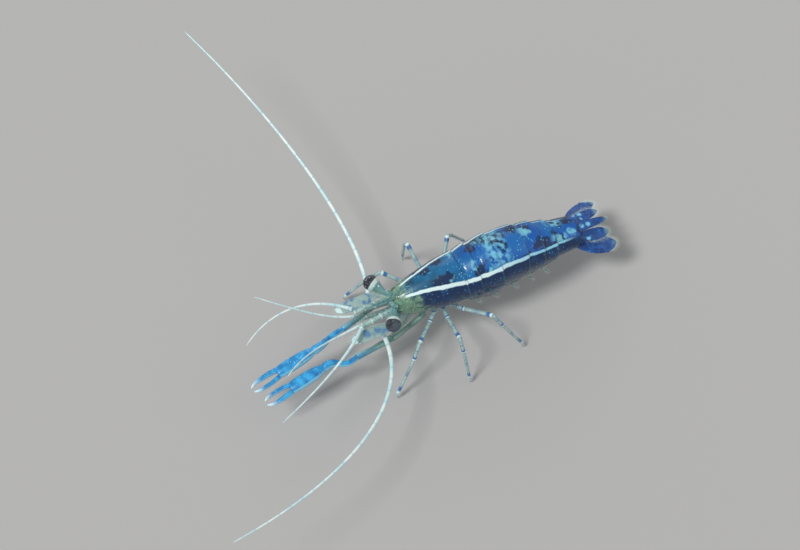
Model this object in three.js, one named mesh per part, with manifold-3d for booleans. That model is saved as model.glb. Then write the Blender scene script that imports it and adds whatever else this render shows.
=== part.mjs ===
// Pederson's cleaner shrimp (Ancylomenes pedersoni) at life size, standing on its six walking legs.
// Millimetres, +Z up. The head looks along -Y and the animal's left side is +X.
// Points on the animal are given as at(forward, left, up): forward from the eye socket, left from the
// mid-plane and up from the floor. Every piece is one closed solid in its own named mesh.
import * as THREE from "three";
import { mergeVertices } from "three/addons/utils/BufferGeometryUtils.js";
import Module from "manifold-3d";

const wasm = await Module();
wasm.setup();

// Driving dimensions.
const CARAPACE = 5.2; // eye socket to the rear edge of the carapace
const BODY_WIDTH = 4.1; // about the second somite, which is the widest
const BODY_DEPTH = 3.9; // at the rear of the carapace
const AXIS_UP = 6.2; // height of the body's axis over the floor
const THIN = 0.5; // thickness of fins, legs and feelers
const SEAM = 0.1; // gap between neighbouring pieces
const ROSTRUM = 3.5; // how far the rostrum reaches past the eye socket
const EYE_RADIUS = 0.6;
const CHEST_BOX = 0.8; // under 1 squares the underside of the thorax
const SPINE_STEP = 0.05; // length of one step along the bent abdomen

const LEFT = 1;
const RIGHT = -1;
const SIDES = [
  ["left", LEFT],
  ["right", RIGHT],
];
const UP = new THREE.Vector3(0, 0, 1);
const DOWN = new THREE.Vector3(0, 0, -1);

// Sections of the carapace from the face to its rear edge: place behind the eye socket as a share of
// CARAPACE, width as a share of BODY_WIDTH, and reach above and below the axis as shares of BODY_DEPTH.
const CARAPACE_SECTIONS = [
  { back: -0.06, width: 0.42, above: 0.22, below: 0.25 },
  { back: 0.04, width: 0.53, above: 0.3, below: 0.33 },
  { back: 0.25, width: 0.66, above: 0.39, below: 0.41 },
  { back: 0.52, width: 0.79, above: 0.46, below: 0.47 },
  { back: 0.79, width: 0.9, above: 0.5, below: 0.48 },
  { back: 0.98, width: 0.94, above: 0.49, below: 0.45 },
];

// Rings between the somites, the first at the rear of the carapace: length of the somite in front of
// the ring, downward pitch of the body there in degrees, section shares as above, and how far the
// side plates of that somite hang below the ring at their middle.
const ABDOMEN_RINGS = [
  { length: 0, pitch: -4, width: 0.95, above: 0.47, below: 0.43 },
  { length: 1.1, pitch: -4, width: 1.0, above: 0.48, below: 0.43, lobe: 0.03 },
  { length: 1.75, pitch: -2, width: 1.04, above: 0.5, below: 0.43, lobe: 0.1 },
  { length: 2.15, pitch: 9, width: 0.98, above: 0.44, below: 0.38, lobe: 0.08 },
  { length: 1.45, pitch: 14, width: 0.91, above: 0.38, below: 0.32, lobe: 0.06 },
  { length: 1.3, pitch: 14, width: 0.8, above: 0.31, below: 0.27, lobe: 0.05 },
  { length: 2.35, pitch: 10, width: 0.62, above: 0.22, below: 0.2, lobe: 0.01 },
];

const FACE = 0.3 + SEAM; // how far forward of the eye sockets the stalks and feelers leave the head

const shell = new THREE.MeshStandardMaterial({ color: 0x4a86a8, roughness: 0.35, metalness: 0 });
const claw = new THREE.MeshStandardMaterial({ color: 0x2a8ad0, roughness: 0.35, metalness: 0 });
const limb = new THREE.MeshStandardMaterial({ color: 0x9cc4c8, roughness: 0.4, metalness: 0 });
const feeler = new THREE.MeshStandardMaterial({ color: 0xeef6f4, roughness: 0.5, metalness: 0 });
const eye = new THREE.MeshStandardMaterial({ color: 0x39444e, roughness: 0.15, metalness: 0 });

function at(forward, left, up) {
  return new THREE.Vector3(left, -forward, up);
}

// Turns a ring of stations into a closed body with flat ends, by bending a cylinder along them. Each
// station holds its centre p, half width w, half height h and, where it differs, the reach below the
// centre and the tangent t. The option box squares the underside, and hollow pushes it up.
function loft(stations, sides, { up = UP, box = 1, hollow = 0 } = {}) {
  const last = stations.length - 1;
  const along = stations.map((s, k) => {
    if (s.t) return s.t.clone().normalize();
    const before = stations[Math.max(k - 1, 0)].p;
    const after = stations[Math.min(k + 1, last)].p;
    return after.clone().sub(before).normalize();
  });
  let lift = up.clone();
  const frames = along.map((t) => {
    lift = lift.clone().addScaledVector(t, -lift.dot(t)).normalize();
    return { side: lift.clone().cross(t), lift };
  });
  const geometry = new THREE.CylinderGeometry(1, 1, 1, sides, last);
  const places = geometry.attributes.position;
  for (let i = 0; i < places.count; i++) {
    const k = Math.round((0.5 - places.getY(i)) * last);
    const { p, w, h, below = h } = stations[k];
    const { side, lift: rise } = frames[k];
    const x = places.getX(i);
    const z = places.getZ(i);
    const power = z < 0 ? box : 1;
    const across = Math.sign(x) * Math.abs(x) ** power;
    let height = z < 0 ? -below * Math.abs(z) ** power : h * z;
    if (z < 0) height += below * hollow * Math.max(0, 1 - (across / 0.7) ** 2);
    const v = p.clone().addScaledVector(side, w * across).addScaledVector(rise, height);
    places.setXYZ(i, v.x, v.y, v.z);
  }
  geometry.deleteAttribute("normal");
  geometry.deleteAttribute("uv");
  return mergeVertices(geometry, 1e-4);
}

// A round limb through the given points, each with the radius there.
function tube(points, sides, options) {
  const stations = points.map(([p, r, t]) => ({ p, w: r, h: r, t }));
  return loft(stations, sides, options);
}

// A feeler along a cubic curve, tapering from one radius to another.
function feelerAlong(controls, radius, tipRadius, steps, sides) {
  const curve = new THREE.CubicBezierCurve3(...controls);
  const stations = curve.getSpacedPoints(steps).map((p, k) => {
    const r = THREE.MathUtils.lerp(radius, tipRadius, k / steps);
    return { p, w: r, h: r };
  });
  return loft(stations, sides);
}

// A flat blade from its root past a bend to its tip, lying square to its normal. Widths are half
// widths at equal steps along it.
function blade(root, bend, tip, normal, widths, sides) {
  const line = new THREE.QuadraticBezierCurve3(root, bend, tip).getSpacedPoints(widths.length - 1);
  const stations = line.map((p, k) => ({ p, w: widths[k], h: THIN / 2 }));
  return loft(stations, sides, { up: normal });
}

// Geometry built about the animal's own frame becomes a mesh placed at its root point.
const body = new THREE.Group();
function place(name, geometry, material, root) {
  geometry.translate(-root.x, -root.y, -root.z);
  const mesh = new THREE.Mesh(geometry, material);
  mesh.name = name;
  mesh.position.copy(root);
  body.add(mesh);
  return mesh;
}

function toSolid(geometry) {
  const merged = geometry.index ? geometry : mergeVertices(geometry, 1e-4);
  const mesh = new wasm.Mesh({
    numProp: 3,
    vertProperties: new Float32Array(merged.attributes.position.array),
    triVerts: new Uint32Array(merged.index.array),
  });
  return new wasm.Manifold(mesh);
}

function fromSolid(solid) {
  const mesh = solid.getMesh();
  const places = new THREE.BufferAttribute(new Float32Array(mesh.vertProperties), mesh.numProp);
  const geometry = new THREE.BufferGeometry().setAttribute("position", places);
  return geometry.setIndex(new THREE.BufferAttribute(new Uint32Array(mesh.triVerts), 1));
}

function carapaceSection(forward) {
  const share = -forward / CARAPACE;
  const after = CARAPACE_SECTIONS.findIndex((s) => s.back >= share);
  const b = CARAPACE_SECTIONS[Math.max(after, 1)];
  const a = CARAPACE_SECTIONS[Math.max(after, 1) - 1];
  const mix = (share - a.back) / (b.back - a.back);
  const part = (key) => THREE.MathUtils.lerp(a[key], b[key], mix);
  return { width: part("width"), above: part("above"), below: part("below") };
}

// Height of the thorax's underside at a place, where the legs start.
function underside(forward, left) {
  const { width, below } = carapaceSection(forward);
  const across = Math.abs(left) / (width * BODY_WIDTH * 0.5);
  return AXIS_UP - below * BODY_DEPTH * (1 - across ** (2 / CHEST_BOX)) ** (CHEST_BOX / 2);
}

// The rostrum, a blade on the mid-plane with a row of teeth above and two below.
function rostrum() {
  const teeth = 8;
  const rear = -1.3;
  const crest = (f) => 7.62 - 0.06 * (f - rear) - 0.03 * Math.max(f, 0);
  const outline = new THREE.Shape();
  const pitch = (ROSTRUM - 0.5 - rear) / teeth;
  outline.moveTo(rear - 0.4, 7.1);
  for (let k = 0; k < teeth; k++) {
    const start = rear + k * pitch;
    outline.lineTo(start, crest(start));
    outline.lineTo(start + 0.82 * pitch, crest(start) + 0.2);
  }
  outline.lineTo(ROSTRUM - 0.5, crest(ROSTRUM) + 0.02);
  outline.lineTo(ROSTRUM, crest(ROSTRUM) - 0.06);
  outline.lineTo(ROSTRUM - 0.55, 6.94);
  for (const f of [2.5, 1.7]) {
    outline.lineTo(f + 0.3, 6.8);
    outline.lineTo(f, 6.92);
  }
  outline.lineTo(0.3, 6.82);
  outline.lineTo(rear, 6.8);
  const geometry = new THREE.ExtrudeGeometry(outline, { depth: THIN, bevelEnabled: false });
  geometry.translate(0, 0, -THIN / 2);
  geometry.deleteAttribute("normal");
  geometry.deleteAttribute("uv");
  const forwardUpSide = new THREE.Matrix4().makeBasis(at(1, 0, 0), at(0, 0, 1), at(0, -1, 0));
  return mergeVertices(geometry.applyMatrix4(forwardUpSide), 1e-4);
}

function addCarapace() {
  const stations = CARAPACE_SECTIONS.map(({ back, width, above, below }) => ({
    p: at(-back * CARAPACE, 0, AXIS_UP),
    w: (width * BODY_WIDTH) / 2,
    h: above * BODY_DEPTH,
    below: below * BODY_DEPTH,
    t: at(-1, 0, 0),
  }));
  const thorax = toSolid(loft(stations, 18, { box: CHEST_BOX }));
  const joined = thorax.add(toSolid(rostrum()));
  place("carapace", fromSolid(joined), shell, at(0, 0, AXIS_UP));
}

// The abdomen's axis as a list of points a step apart, each with its pitch and section.
function spine() {
  const points = [];
  let forward = -CARAPACE;
  let up = AXIS_UP;
  let travelled = 0;
  ABDOMEN_RINGS.slice(1).forEach((rear, k) => {
    const front = ABDOMEN_RINGS[k];
    const steps = Math.round(rear.length / SPINE_STEP);
    for (let i = 0; i < steps; i++) {
      const mix = i / steps;
      const part = (key) => THREE.MathUtils.lerp(front[key], rear[key], mix);
      const pitch = THREE.MathUtils.degToRad(part("pitch"));
      const [width, above, below] = ["width", "above", "below"].map(part);
      points.push({ forward, up, travelled, pitch, width, above, below });
      forward -= SPINE_STEP * Math.cos(pitch);
      up -= SPINE_STEP * Math.sin(pitch);
      travelled += SPINE_STEP;
    }
  });
  const end = ABDOMEN_RINGS[ABDOMEN_RINGS.length - 1];
  const pitch = THREE.MathUtils.degToRad(end.pitch);
  points.push({ ...end, forward, up, travelled, pitch });
  return points;
}
const SPINE = spine();

function onSpine(travelled) {
  return SPINE[THREE.MathUtils.clamp(Math.round(travelled / SPINE_STEP), 0, SPINE.length - 1)];
}

function tailward(pitch) {
  return at(-Math.cos(pitch), 0, -Math.sin(pitch));
}

function upward(pitch) {
  return at(-Math.sin(pitch), 0, Math.cos(pitch));
}

const SOMITE_LENGTH_STEP = 0.45; // between the sections of a somite
const SOMITE_BOX = 0.75; // how boxy its lower half is
const UNDERSIDE_HOLLOW = 0.3; // how far it is hollowed between its side plates, as a share
const LAST_HOLLOW = 0.1;

function addSomites() {
  const gap = SEAM * 1.3;
  let start = 0;
  ABDOMEN_RINGS.slice(1).forEach(({ length, lobe }, k) => {
    const cuts = Math.max(3, Math.round(length / SOMITE_LENGTH_STEP));
    const stations = [];
    for (let i = 0; i <= cuts; i++) {
      const share = i / cuts;
      const s = onSpine(start + gap + (length - gap) * share);
      const hang = lobe * Math.sin(Math.PI * share);
      stations.push({
        p: at(s.forward, 0, s.up),
        w: (s.width * BODY_WIDTH) / 2,
        h: s.above * BODY_DEPTH,
        below: (s.below + hang) * BODY_DEPTH,
        t: tailward(s.pitch),
      });
    }
    const solid = loft(stations, 16, { box: SOMITE_BOX, hollow: k < 5 ? UNDERSIDE_HOLLOW : LAST_HOLLOW });
    place(`abdomen_somite_${k + 1}`, solid, shell, stations[0].p);
    start += length;
  });
}

// Telson and uropods: five blades side by side in a shallow roof behind the sixth somite. Each fin
// is given by its places across and above the tail's axis at the root, past its bend and at the tip.
const FINS = [
  {
    name: "endopod",
    root: [0.7, 0.12],
    bend: [1.06, 0.1],
    tip: [0.98, 0.12],
    tilt: 14,
    length: 2.8,
    widths: [0.24, 0.34, 0.4, 0.42, 0.39, 0.28],
  },
  {
    name: "exopod",
    root: [1.04, -0.42],
    bend: [2.12, -0.42],
    tip: [1.9, -0.32],
    tilt: 28,
    length: 3.1,
    widths: [0.24, 0.37, 0.48, 0.52, 0.48, 0.3],
  },
];

function addTailFan() {
  const end = SPINE[SPINE.length - 1];
  const tail = tailward(end.pitch);
  const rise = upward(end.pitch);
  const behind = ([left, up], back, sign = 1) =>
    at(end.forward, left * sign, end.up).addScaledVector(rise, up).addScaledVector(tail, back);
  const telson = [0.38, 0.41, 0.38, 0.34, 0.29, 0.25];
  const root = behind([0, 0.36], SEAM);
  const line = [root, behind([0, 0.4], 1.5), behind([0, 0.3], 2.95)];
  place("telson", blade(...line, rise, telson, 10), shell, root);
  for (const [side, s] of SIDES) {
    for (const fin of FINS) {
      const start = behind(fin.root, SEAM * 1.8, s);
      const bend = behind(fin.bend, fin.length * 0.45, s);
      const tip = behind(fin.tip, fin.length, s);
      const normal = rise.clone().applyAxisAngle(tail, -THREE.MathUtils.degToRad(fin.tilt) * s);
      place(`uropod_${fin.name}_${side}`, blade(start, bend, tip, normal, fin.widths, 10), shell, start);
    }
  }
}

// Ten paddles under the first five somites, hanging down and a little back.
const PADDLE = 1.8;
const FIRST_PADDLE = 1.5;
const PADDLE_LEAN = 26; // degrees from straight down to straight back
const PADDLE_WIDTHS = [0.26, 0.26, 0.36, 0.4, 0.34, 0.25];

function addPleopods() {
  let start = 0;
  ABDOMEN_RINGS.slice(1, 6).forEach(({ length, lobe }, k) => {
    const s = onSpine(start + length / 2);
    const lean = THREE.MathUtils.degToRad(PADDLE_LEAN) + s.pitch / 2;
    const tail = tailward(s.pitch);
    const down = upward(s.pitch).negate();
    const direction = down.clone().multiplyScalar(Math.cos(lean)).addScaledVector(tail, Math.sin(lean));
    const reach = (s.below + lobe) * BODY_DEPTH * 0.8 + SEAM;
    const size = k === 0 ? FIRST_PADDLE : PADDLE;
    for (const [side, sign] of SIDES) {
      const root = at(s.forward, s.width * BODY_WIDTH * 0.3 * sign, s.up).addScaledVector(down, reach);
      const bend = root.clone().addScaledVector(down, size / 2);
      const tip = root.clone().addScaledVector(direction, size);
      const paddle = blade(root, bend, tip, tail, PADDLE_WIDTHS, 8);
      place(`pleopod_${k + 1}_${side}`, paddle, limb, root);
    }
    start += length;
  });
}

function addEyes() {
  for (const [side, s] of SIDES) {
    const centre = at(1.2, 1.95 * s, 6.82);
    const root = at(FACE, 0.54 * s, 6.6);
    const outward = centre.clone().sub(root).normalize();
    const neck = centre.clone().addScaledVector(outward, -(EYE_RADIUS + SEAM));
    const stalk = [[root, 0.25, at(1, 0, 0)], [root.clone().lerp(neck, 0.5), 0.27], [neck, 0.3, outward]];
    place(`eyestalk_${side}`, tube(stalk, 8), limb, root);
    place(`eye_${side}`, new THREE.SphereGeometry(EYE_RADIUS, 14, 10).translate(...centre), eye, centre);
  }
}

// Control points of the two pairs of antennule feelers and of the long antennae, as forward, left, up.
const ANTENNULE_FEELERS = {
  left: {
    outer: [[3.32, 0.85, 6.15], [5.2, 2.8, 6.8], [8.5, 4.6, 7.4], [12.2, 5.9, 7.2]],
    inner: [[3.32, 0.45, 5.75], [5.4, 0.9, 6.2], [8.2, 1.6, 8.2], [10.6, 3.6, 9.4]],
  },
  right: {
    outer: [[3.32, -0.85, 6.15], [5.5, -2.6, 7.0], [8.8, -3.1, 7.7], [11.9, -1.3, 6.7]],
    inner: [[3.32, -0.45, 5.75], [5.4, -0.7, 6.3], [8.0, -1.9, 8.6], [10.2, -3.4, 9.6]],
  },
};
const ANTENNAE = {
  left: [[1.8, 1.2, 4.7], [2.0, 7.8, 5.7], [9.7, 12.4, 7.8], [19.7, 13.9, 9.6]],
  right: [[1.8, -1.2, 4.6], [-0.6, -5.2, 6.2], [1.9, -17.5, 8.4], [5.5, -26.6, 10.6]],
};

function addFeelers() {
  for (const [side, s] of SIDES) {
    const antennule = [
      [at(FACE, 0.4 * s, 5.95), 0.3, at(1, 0, 0)],
      [at(1.2, 0.5 * s, 5.95), 0.3],
      [at(1.9, 0.6 * s, 5.97), 0.26],
      [at(2.5, 0.64 * s, 5.97), 0.27],
      [at(3.1, 0.66 * s, 5.97), 0.26, at(1, 0, 0)],
    ];
    place(`antennule_base_${side}`, tube(antennule, 8), limb, antennule[0][0]);
    for (const branch of ["outer", "inner"]) {
      const controls = ANTENNULE_FEELERS[side][branch].map((c) => at(...c));
      place(`antennule_${branch}_${side}`, feelerAlong(controls, 0.25, 0.25, 12, 6), feeler, controls[0]);
    }
    const base = [
      [at(FACE, 0.72 * s, 5.35), 0.26, at(1, 0, -0.3)],
      [at(0.95, 0.84 * s, 5.02), 0.27],
      [at(1.7, 1.02 * s, 4.65), 0.26, at(0.5, 0.8 * s, 0)],
    ];
    place(`antenna_base_${side}`, tube(base, 8), limb, base[0][0]);
    const scaleRoot = at(0.75, 1.45 * s, 5.58);
    const widths = [0.26, 0.42, 0.5, 0.52, 0.46, 0.26];
    const scale = blade(scaleRoot, at(2.6, 1.58 * s, 5.66), at(4.6, 1.45 * s, 5.74), UP, widths, 8);
    place(`antenna_scale_${side}`, scale, limb, scaleRoot);
    const controls = ANTENNAE[side].map((c) => at(...c));
    controls[0].addScaledVector(controls[1].clone().sub(controls[0]).normalize(), SEAM * 2);
    place(`antenna_${side}`, feelerAlong(controls, 0.27, 0.25, 26, 6), feeler, controls[0]);
  }
}

// Legs start by pointing straight down, so their sections are measured from the forward direction.
const LEG = { up: at(1, 0, 0) };

// The first stretch of every leg: a short coxa straight down from the underside of the thorax.
function coxa(forward, left, radius = 0.29) {
  const top = underside(forward, Math.abs(left) - radius) - SEAM;
  return [
    [at(forward, left, top), radius, DOWN],
    [at(forward, left, top - 0.35), radius, DOWN],
  ];
}

function addMouthLegs() {
  for (const [side, s] of SIDES) {
    const maxilliped = [
      ...coxa(-0.35, 0.4 * s, 0.26),
      [at(0.5, 0.55 * s, 4.25), 0.26],
      [at(1.6, 0.62 * s, 4.3), 0.25],
      [at(2.3, 0.58 * s, 4.5), 0.25],
      [at(2.9, 0.45 * s, 4.35), 0.25],
    ];
    place(`maxilliped_${side}`, tube(maxilliped, 6, LEG), limb, maxilliped[0][0]);
    const picker = [
      ...coxa(-1.08, 0.42 * s, 0.27),
      [at(-0.3, 0.72 * s, 3.45), 0.26],
      [at(0.9, 1.0 * s, 2.95), 0.26],
      [at(2.6, 1.3 * s, 2.95), 0.25],
      [at(3.0, 1.3 * s, 2.85), 0.29],
      [at(3.6, 1.2 * s, 2.7), 0.29],
      [at(4.7, 0.95 * s, 2.45), 0.25],
    ];
    place(`pereiopod_1_${side}`, tube(picker, 6, LEG), limb, picker[0][0]);
  }
}

// The long second legs, held forward side by side, each ending in a blue claw.
const CHELIPEDS = {
  left: {
    ischium: [1.1, 1.65, 3.7],
    merus: [4.2, 1.95, 3.9],
    carpus: [7.0, 1.8, 4.25],
    tip: [12.1, 2.45, 3.75],
  },
  right: {
    ischium: [1.1, -1.5, 3.7],
    merus: [4.2, -0.7, 3.9],
    carpus: [7.1, 0.15, 4.25],
    tip: [12.6, 0.9, 3.85],
  },
};

const PALM_SHARE = 0.58; // of the claw's length, up to where its fingers part

function addChelipeds() {
  for (const [side, s] of SIDES) {
    const { ischium, merus, carpus, tip } = CHELIPEDS[side];
    const wrist = at(...carpus);
    const end = at(...tip);
    const along = end.clone().sub(wrist);
    const reach = along.length();
    along.normalize();
    const out = UP.clone().cross(along).normalize().multiplyScalar(s);
    if (out.x * s < 0) out.negate();
    const arm = [
      ...coxa(-1.9, 0.95 * s),
      [at(...ischium), 0.27],
      [at(...merus).addScaledVector(along, -0.25), 0.27],
      [at(...merus).addScaledVector(along, 0.2), 0.26],
      [wrist.clone().addScaledVector(along, -0.6), 0.34],
      [wrist.clone().addScaledVector(along, -SEAM), 0.36, along],
    ];
    place(`cheliped_arm_${side}`, tube(arm, 8, LEG), claw, arm[0][0]);
    const hand = (share, aside, w, h, t) => ({
      p: wrist.clone().addScaledVector(along, reach * share).addScaledVector(out, aside),
      w,
      h,
      t,
    });
    const palm = [
      hand(0, 0, 0.32, 0.3, along),
      hand(0.1, 0, 0.44, 0.4),
      hand(0.35, 0, 0.54, 0.44),
      hand(PALM_SHARE - 0.03, 0, 0.53, 0.41, along),
      hand(PALM_SHARE, 0.28, 0.25, 0.3),
      hand(0.8, 0.36, 0.25, 0.27),
      hand(1, 0.16, 0.25, 0.25),
    ];
    place(`cheliped_claw_${side}`, loft(palm, 8), claw, palm[0].p);
    const finger = [
      hand(PALM_SHARE + 0.03, -0.33, 0.25, 0.28, along),
      hand(0.8, -0.44, 0.25, 0.26),
      hand(0.99, -0.4, 0.25, 0.25),
    ];
    place(`cheliped_finger_${side}`, loft(finger, 8), claw, finger[0].p);
  }
}

// Walking legs: where each leaves the thorax, where its knee is, and where its foot stands.
const WALKING_LEGS = [
  { number: 3, root: -2.7, knee: [-0.3, 3.4, 4.85], foot: [2.2, 4.7] },
  { number: 4, root: -3.45, knee: [-3.1, 4.6, 5.35], foot: [-3.4, 5.9] },
  { number: 5, root: -4.2, knee: [-6.3, 3.9, 5.2], foot: [-8.4, 5.0] },
];
const DACTYLUS = 0.75; // the claw at the end of a walking leg, which stands upright
const FOOT_RADIUS = 0.28; // of the small flat that each leg stands on

function addWalkingLegs() {
  for (const { number, root, knee, foot } of WALKING_LEGS) {
    for (const [side, s] of SIDES) {
      const base = coxa(root, 1.0 * s);
      const hip = base[1][0];
      const bend = at(knee[0], knee[1] * s, knee[2]);
      const ankle = at(foot[0], foot[1] * s, DACTYLUS);
      const leg = [
        ...base,
        [hip.clone().lerp(bend, 0.32).add(at(0, 0, -0.2)), 0.27],
        [hip.clone().lerp(bend, 0.94), 0.27],
        [bend.clone().lerp(ankle, 0.06), 0.27],
        [bend.clone().lerp(ankle, 0.32).add(at(0, 0.15 * s, 0)), 0.26],
        [ankle, 0.25],
        [at(foot[0], foot[1] * s, 0), FOOT_RADIUS, DOWN],
      ];
      place(`walking_leg_${number}_${side}`, tube(leg, 6, LEG), limb, leg[0][0]);
    }
  }
}

addCarapace();
addSomites();
addTailFan();
addPleopods();
addEyes();
addFeelers();
addMouthLegs();
addChelipeds();
addWalkingLegs();

// The frame's origin is on the floor, under the middle of the whole animal with its feelers.
const bounds = new THREE.Box3().setFromObject(body);
const middle = bounds.getCenter(new THREE.Vector3());
body.position.set(-middle.x, -middle.y, 0);
const shrimp = new THREE.Group();
shrimp.add(body);

export default shrimp;
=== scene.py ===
import math

import bmesh
import bpy
import numpy as np
from mathutils import Matrix, Vector


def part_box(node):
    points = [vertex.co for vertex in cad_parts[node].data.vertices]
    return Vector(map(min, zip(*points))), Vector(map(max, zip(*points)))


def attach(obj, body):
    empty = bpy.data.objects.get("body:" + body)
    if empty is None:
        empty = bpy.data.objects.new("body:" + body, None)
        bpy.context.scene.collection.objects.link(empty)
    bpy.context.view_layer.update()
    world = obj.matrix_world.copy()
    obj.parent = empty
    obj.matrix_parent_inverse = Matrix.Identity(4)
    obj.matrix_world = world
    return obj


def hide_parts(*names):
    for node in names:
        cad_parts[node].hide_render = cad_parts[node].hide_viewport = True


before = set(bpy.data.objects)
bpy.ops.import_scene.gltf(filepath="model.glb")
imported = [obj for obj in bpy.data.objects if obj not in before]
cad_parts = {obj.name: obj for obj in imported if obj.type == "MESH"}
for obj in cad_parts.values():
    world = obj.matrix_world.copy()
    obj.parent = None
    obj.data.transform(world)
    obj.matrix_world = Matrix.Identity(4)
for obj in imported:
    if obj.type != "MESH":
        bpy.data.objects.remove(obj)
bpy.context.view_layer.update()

# ---------------------------------------------------------------- driving dimensions, as in the CAD
MM = 0.001
CARAPACE = 5.2  # from the eye sockets to its rear edge
BODY_WIDTH = 4.1
BODY_DEPTH = 3.9
AXIS_UP = 6.2  # the body's axis inside the carapace
ROSTRUM = 3.5  # from the eye sockets to its tip
EYE_RADIUS = 0.6
EYE_AHEAD = 1.2  # from the sockets' line to the middle of the eyes
SEAM = 0.1
SHELL = 0.07  # thickness of a shell plate
SQUARENESS = 0.8  # of the body's lower half, where 1 would be an ellipse
SIDES = (("left", 1), ("right", -1))
UPRIGHT = (0.0, 0.0, 1.0)

# Back, width, reach above and below the axis: shares of CARAPACE, BODY_WIDTH and BODY_DEPTH.
CARAPACE_SECTIONS = (
    (-0.06, 0.42, 0.22, 0.25),
    (0.04, 0.53, 0.30, 0.33),
    (0.25, 0.66, 0.39, 0.41),
    (0.52, 0.79, 0.46, 0.47),
    (0.79, 0.90, 0.50, 0.48),
    (0.98, 0.94, 0.49, 0.45),
)
# Length of the somite in front of the ring, pitch in degrees, width, above, below, side plate's drop.
ABDOMEN_RINGS = (
    (0.0, -4, 0.95, 0.47, 0.43, 0.0),
    (1.1, -4, 1.00, 0.48, 0.43, 0.03),
    (1.75, -2, 1.04, 0.50, 0.43, 0.10),
    (2.15, 9, 0.98, 0.44, 0.38, 0.08),
    (1.45, 14, 0.91, 0.38, 0.32, 0.06),
    (1.3, 14, 0.80, 0.31, 0.27, 0.05),
    (2.35, 10, 0.62, 0.22, 0.20, 0.01),
)
RING_BACKS = CARAPACE + np.cumsum([ring[0] for ring in ABDOMEN_RINGS])
TAIL_END = RING_BACKS[-1]


def socket_middle():
    """Where the mid-plane and the eye sockets' line lie in the frame, in millimetres."""
    corners = [np.array(corner) for side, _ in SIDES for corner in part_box(f"eye_{side}")]
    middle = np.mean(corners, axis=0) / MM
    return middle[0], middle[1] + EYE_AHEAD


MIDDLE_X, SOCKET_Y = socket_middle()


def at(forward, left, up):
    """A point, or points, on the animal, in millimetres of the frame."""
    forward, left, up = np.broadcast_arrays(forward, left, up)
    return np.stack([left + MIDDLE_X, SOCKET_Y - forward, up], axis=-1).astype(float)


def heading(forward, left, up):
    """A direction, or a step, on the animal."""
    return np.array([left, -forward, up], float)


def placed(rows, side=1):
    """Points from rows of (forward, left, up), which are written for the animal's left side."""
    return [at(forward, left * side, up) for forward, left, up in rows]


# ---------------------------------------------------------------- curves through few points
def flow(keys, values, wanted, free=False):
    """Values at the wanted keys on a smooth curve through a table, which never overshoots its rows
    unless it is free."""
    keys = np.asarray(keys, float)
    values = np.asarray(values, float)
    flat = values.ndim == 1
    values = values.reshape(len(keys), -1)
    wanted = np.clip(np.asarray(wanted, float), keys[0], keys[-1])
    gaps = np.diff(keys)[:, None]
    slopes = np.diff(values, axis=0) / gaps
    before, after = slopes[:-1], slopes[1:]
    if free:
        inner = (before * gaps[1:] + after * gaps[:-1]) / (gaps[1:] + gaps[:-1])
    else:
        alike = before * after > 0
        inner = np.where(alike, 2 * before * after / np.where(alike, before + after, 1), 0)
    turns = np.vstack([slopes[:1], inner, slopes[-1:]])
    k = np.clip(np.searchsorted(keys, wanted, side="right") - 1, 0, len(gaps) - 1)
    t = ((wanted - keys[k]) / gaps[k, 0])[..., None]
    gap = gaps[k]
    mixed = (2 * t**3 - 3 * t**2 + 1) * values[k] + (t**3 - 2 * t**2 + t) * gap * turns[k]
    mixed = mixed + (3 * t**2 - 2 * t**3) * values[k + 1] + (t**3 - t**2) * gap * turns[k + 1]
    return mixed[..., 0] if flat else mixed


def trail(points, count):
    """Evenly shared points on a smooth curve through the given ones."""
    points = np.asarray(points, float)
    keys = np.concatenate([[0], np.cumsum(np.linalg.norm(np.diff(points, axis=0), axis=1))])
    return flow(keys, points, np.linspace(0, keys[-1], count), free=True)


def bow(root, bend, tip, count):
    """A quadratic curve from the root to the tip, drawn towards the bend."""
    t = np.linspace(0, 1, count)[:, None]
    return (1 - t) ** 2 * root + 2 * t * (1 - t) * bend + t**2 * tip


def rise(low, high, value):
    """0 below low, 1 above high and smooth between them."""
    t = np.clip((np.asarray(value, float) - low) / (high - low), 0, 1)
    return t * t * (3 - 2 * t)


def bump(middle, width, value):
    """1 at the middle, falling to nothing a few widths away."""
    return np.exp(-(((np.asarray(value, float) - middle) / width) ** 2))


def unit(vectors):
    return vectors / np.linalg.norm(vectors, axis=-1, keepdims=True)


# ---------------------------------------------------------------- the body's axis and sections
def body_table():
    """Rows of back, half width and reach above and below the axis, from the neck to the tail."""
    rows = [(share * CARAPACE, *sizes) for share, *sizes in CARAPACE_SECTIONS]
    rows += [(back, *ring[2:5]) for back, ring in zip(RING_BACKS, ABDOMEN_RINGS)]
    return np.array(rows) * (1, BODY_WIDTH / 2, BODY_DEPTH, BODY_DEPTH)


BODY_TABLE = body_table()


def section(back):
    """Half width and reach above and below the axis, some way behind the eye sockets."""
    return np.moveaxis(flow(BODY_TABLE[:, 0], BODY_TABLE[:, 1:], back), -1, 0)


def draw_spine():
    """The axis as a fine table: back, forward, up and pitch in radians."""
    step = 0.02
    backs = np.arange(-1.0, TAIL_END + 1.0, step)
    pitches = np.radians(flow(RING_BACKS, [ring[1] for ring in ABDOMEN_RINGS], backs))
    pitches = np.where(backs < CARAPACE, 0, pitches)
    forward = 1.0 - np.concatenate([[0], np.cumsum(step * np.cos(pitches[:-1]))])
    up = AXIS_UP - np.concatenate([[0], np.cumsum(step * np.sin(pitches[:-1]))])
    return backs, forward, up, pitches


SPINE = draw_spine()


def spine_frame(back):
    """The axis point and the directions tailward and upward there."""
    back = np.asarray(back, float)
    forward, up, pitch = (np.interp(back, SPINE[0], column) for column in SPINE[1:])
    tailward = np.stack([0 * pitch, np.cos(pitch), -np.sin(pitch)], axis=-1)
    upward = np.stack([0 * pitch, np.sin(pitch), np.cos(pitch)], axis=-1)
    return at(forward, 0 * forward, up), tailward, upward


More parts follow.
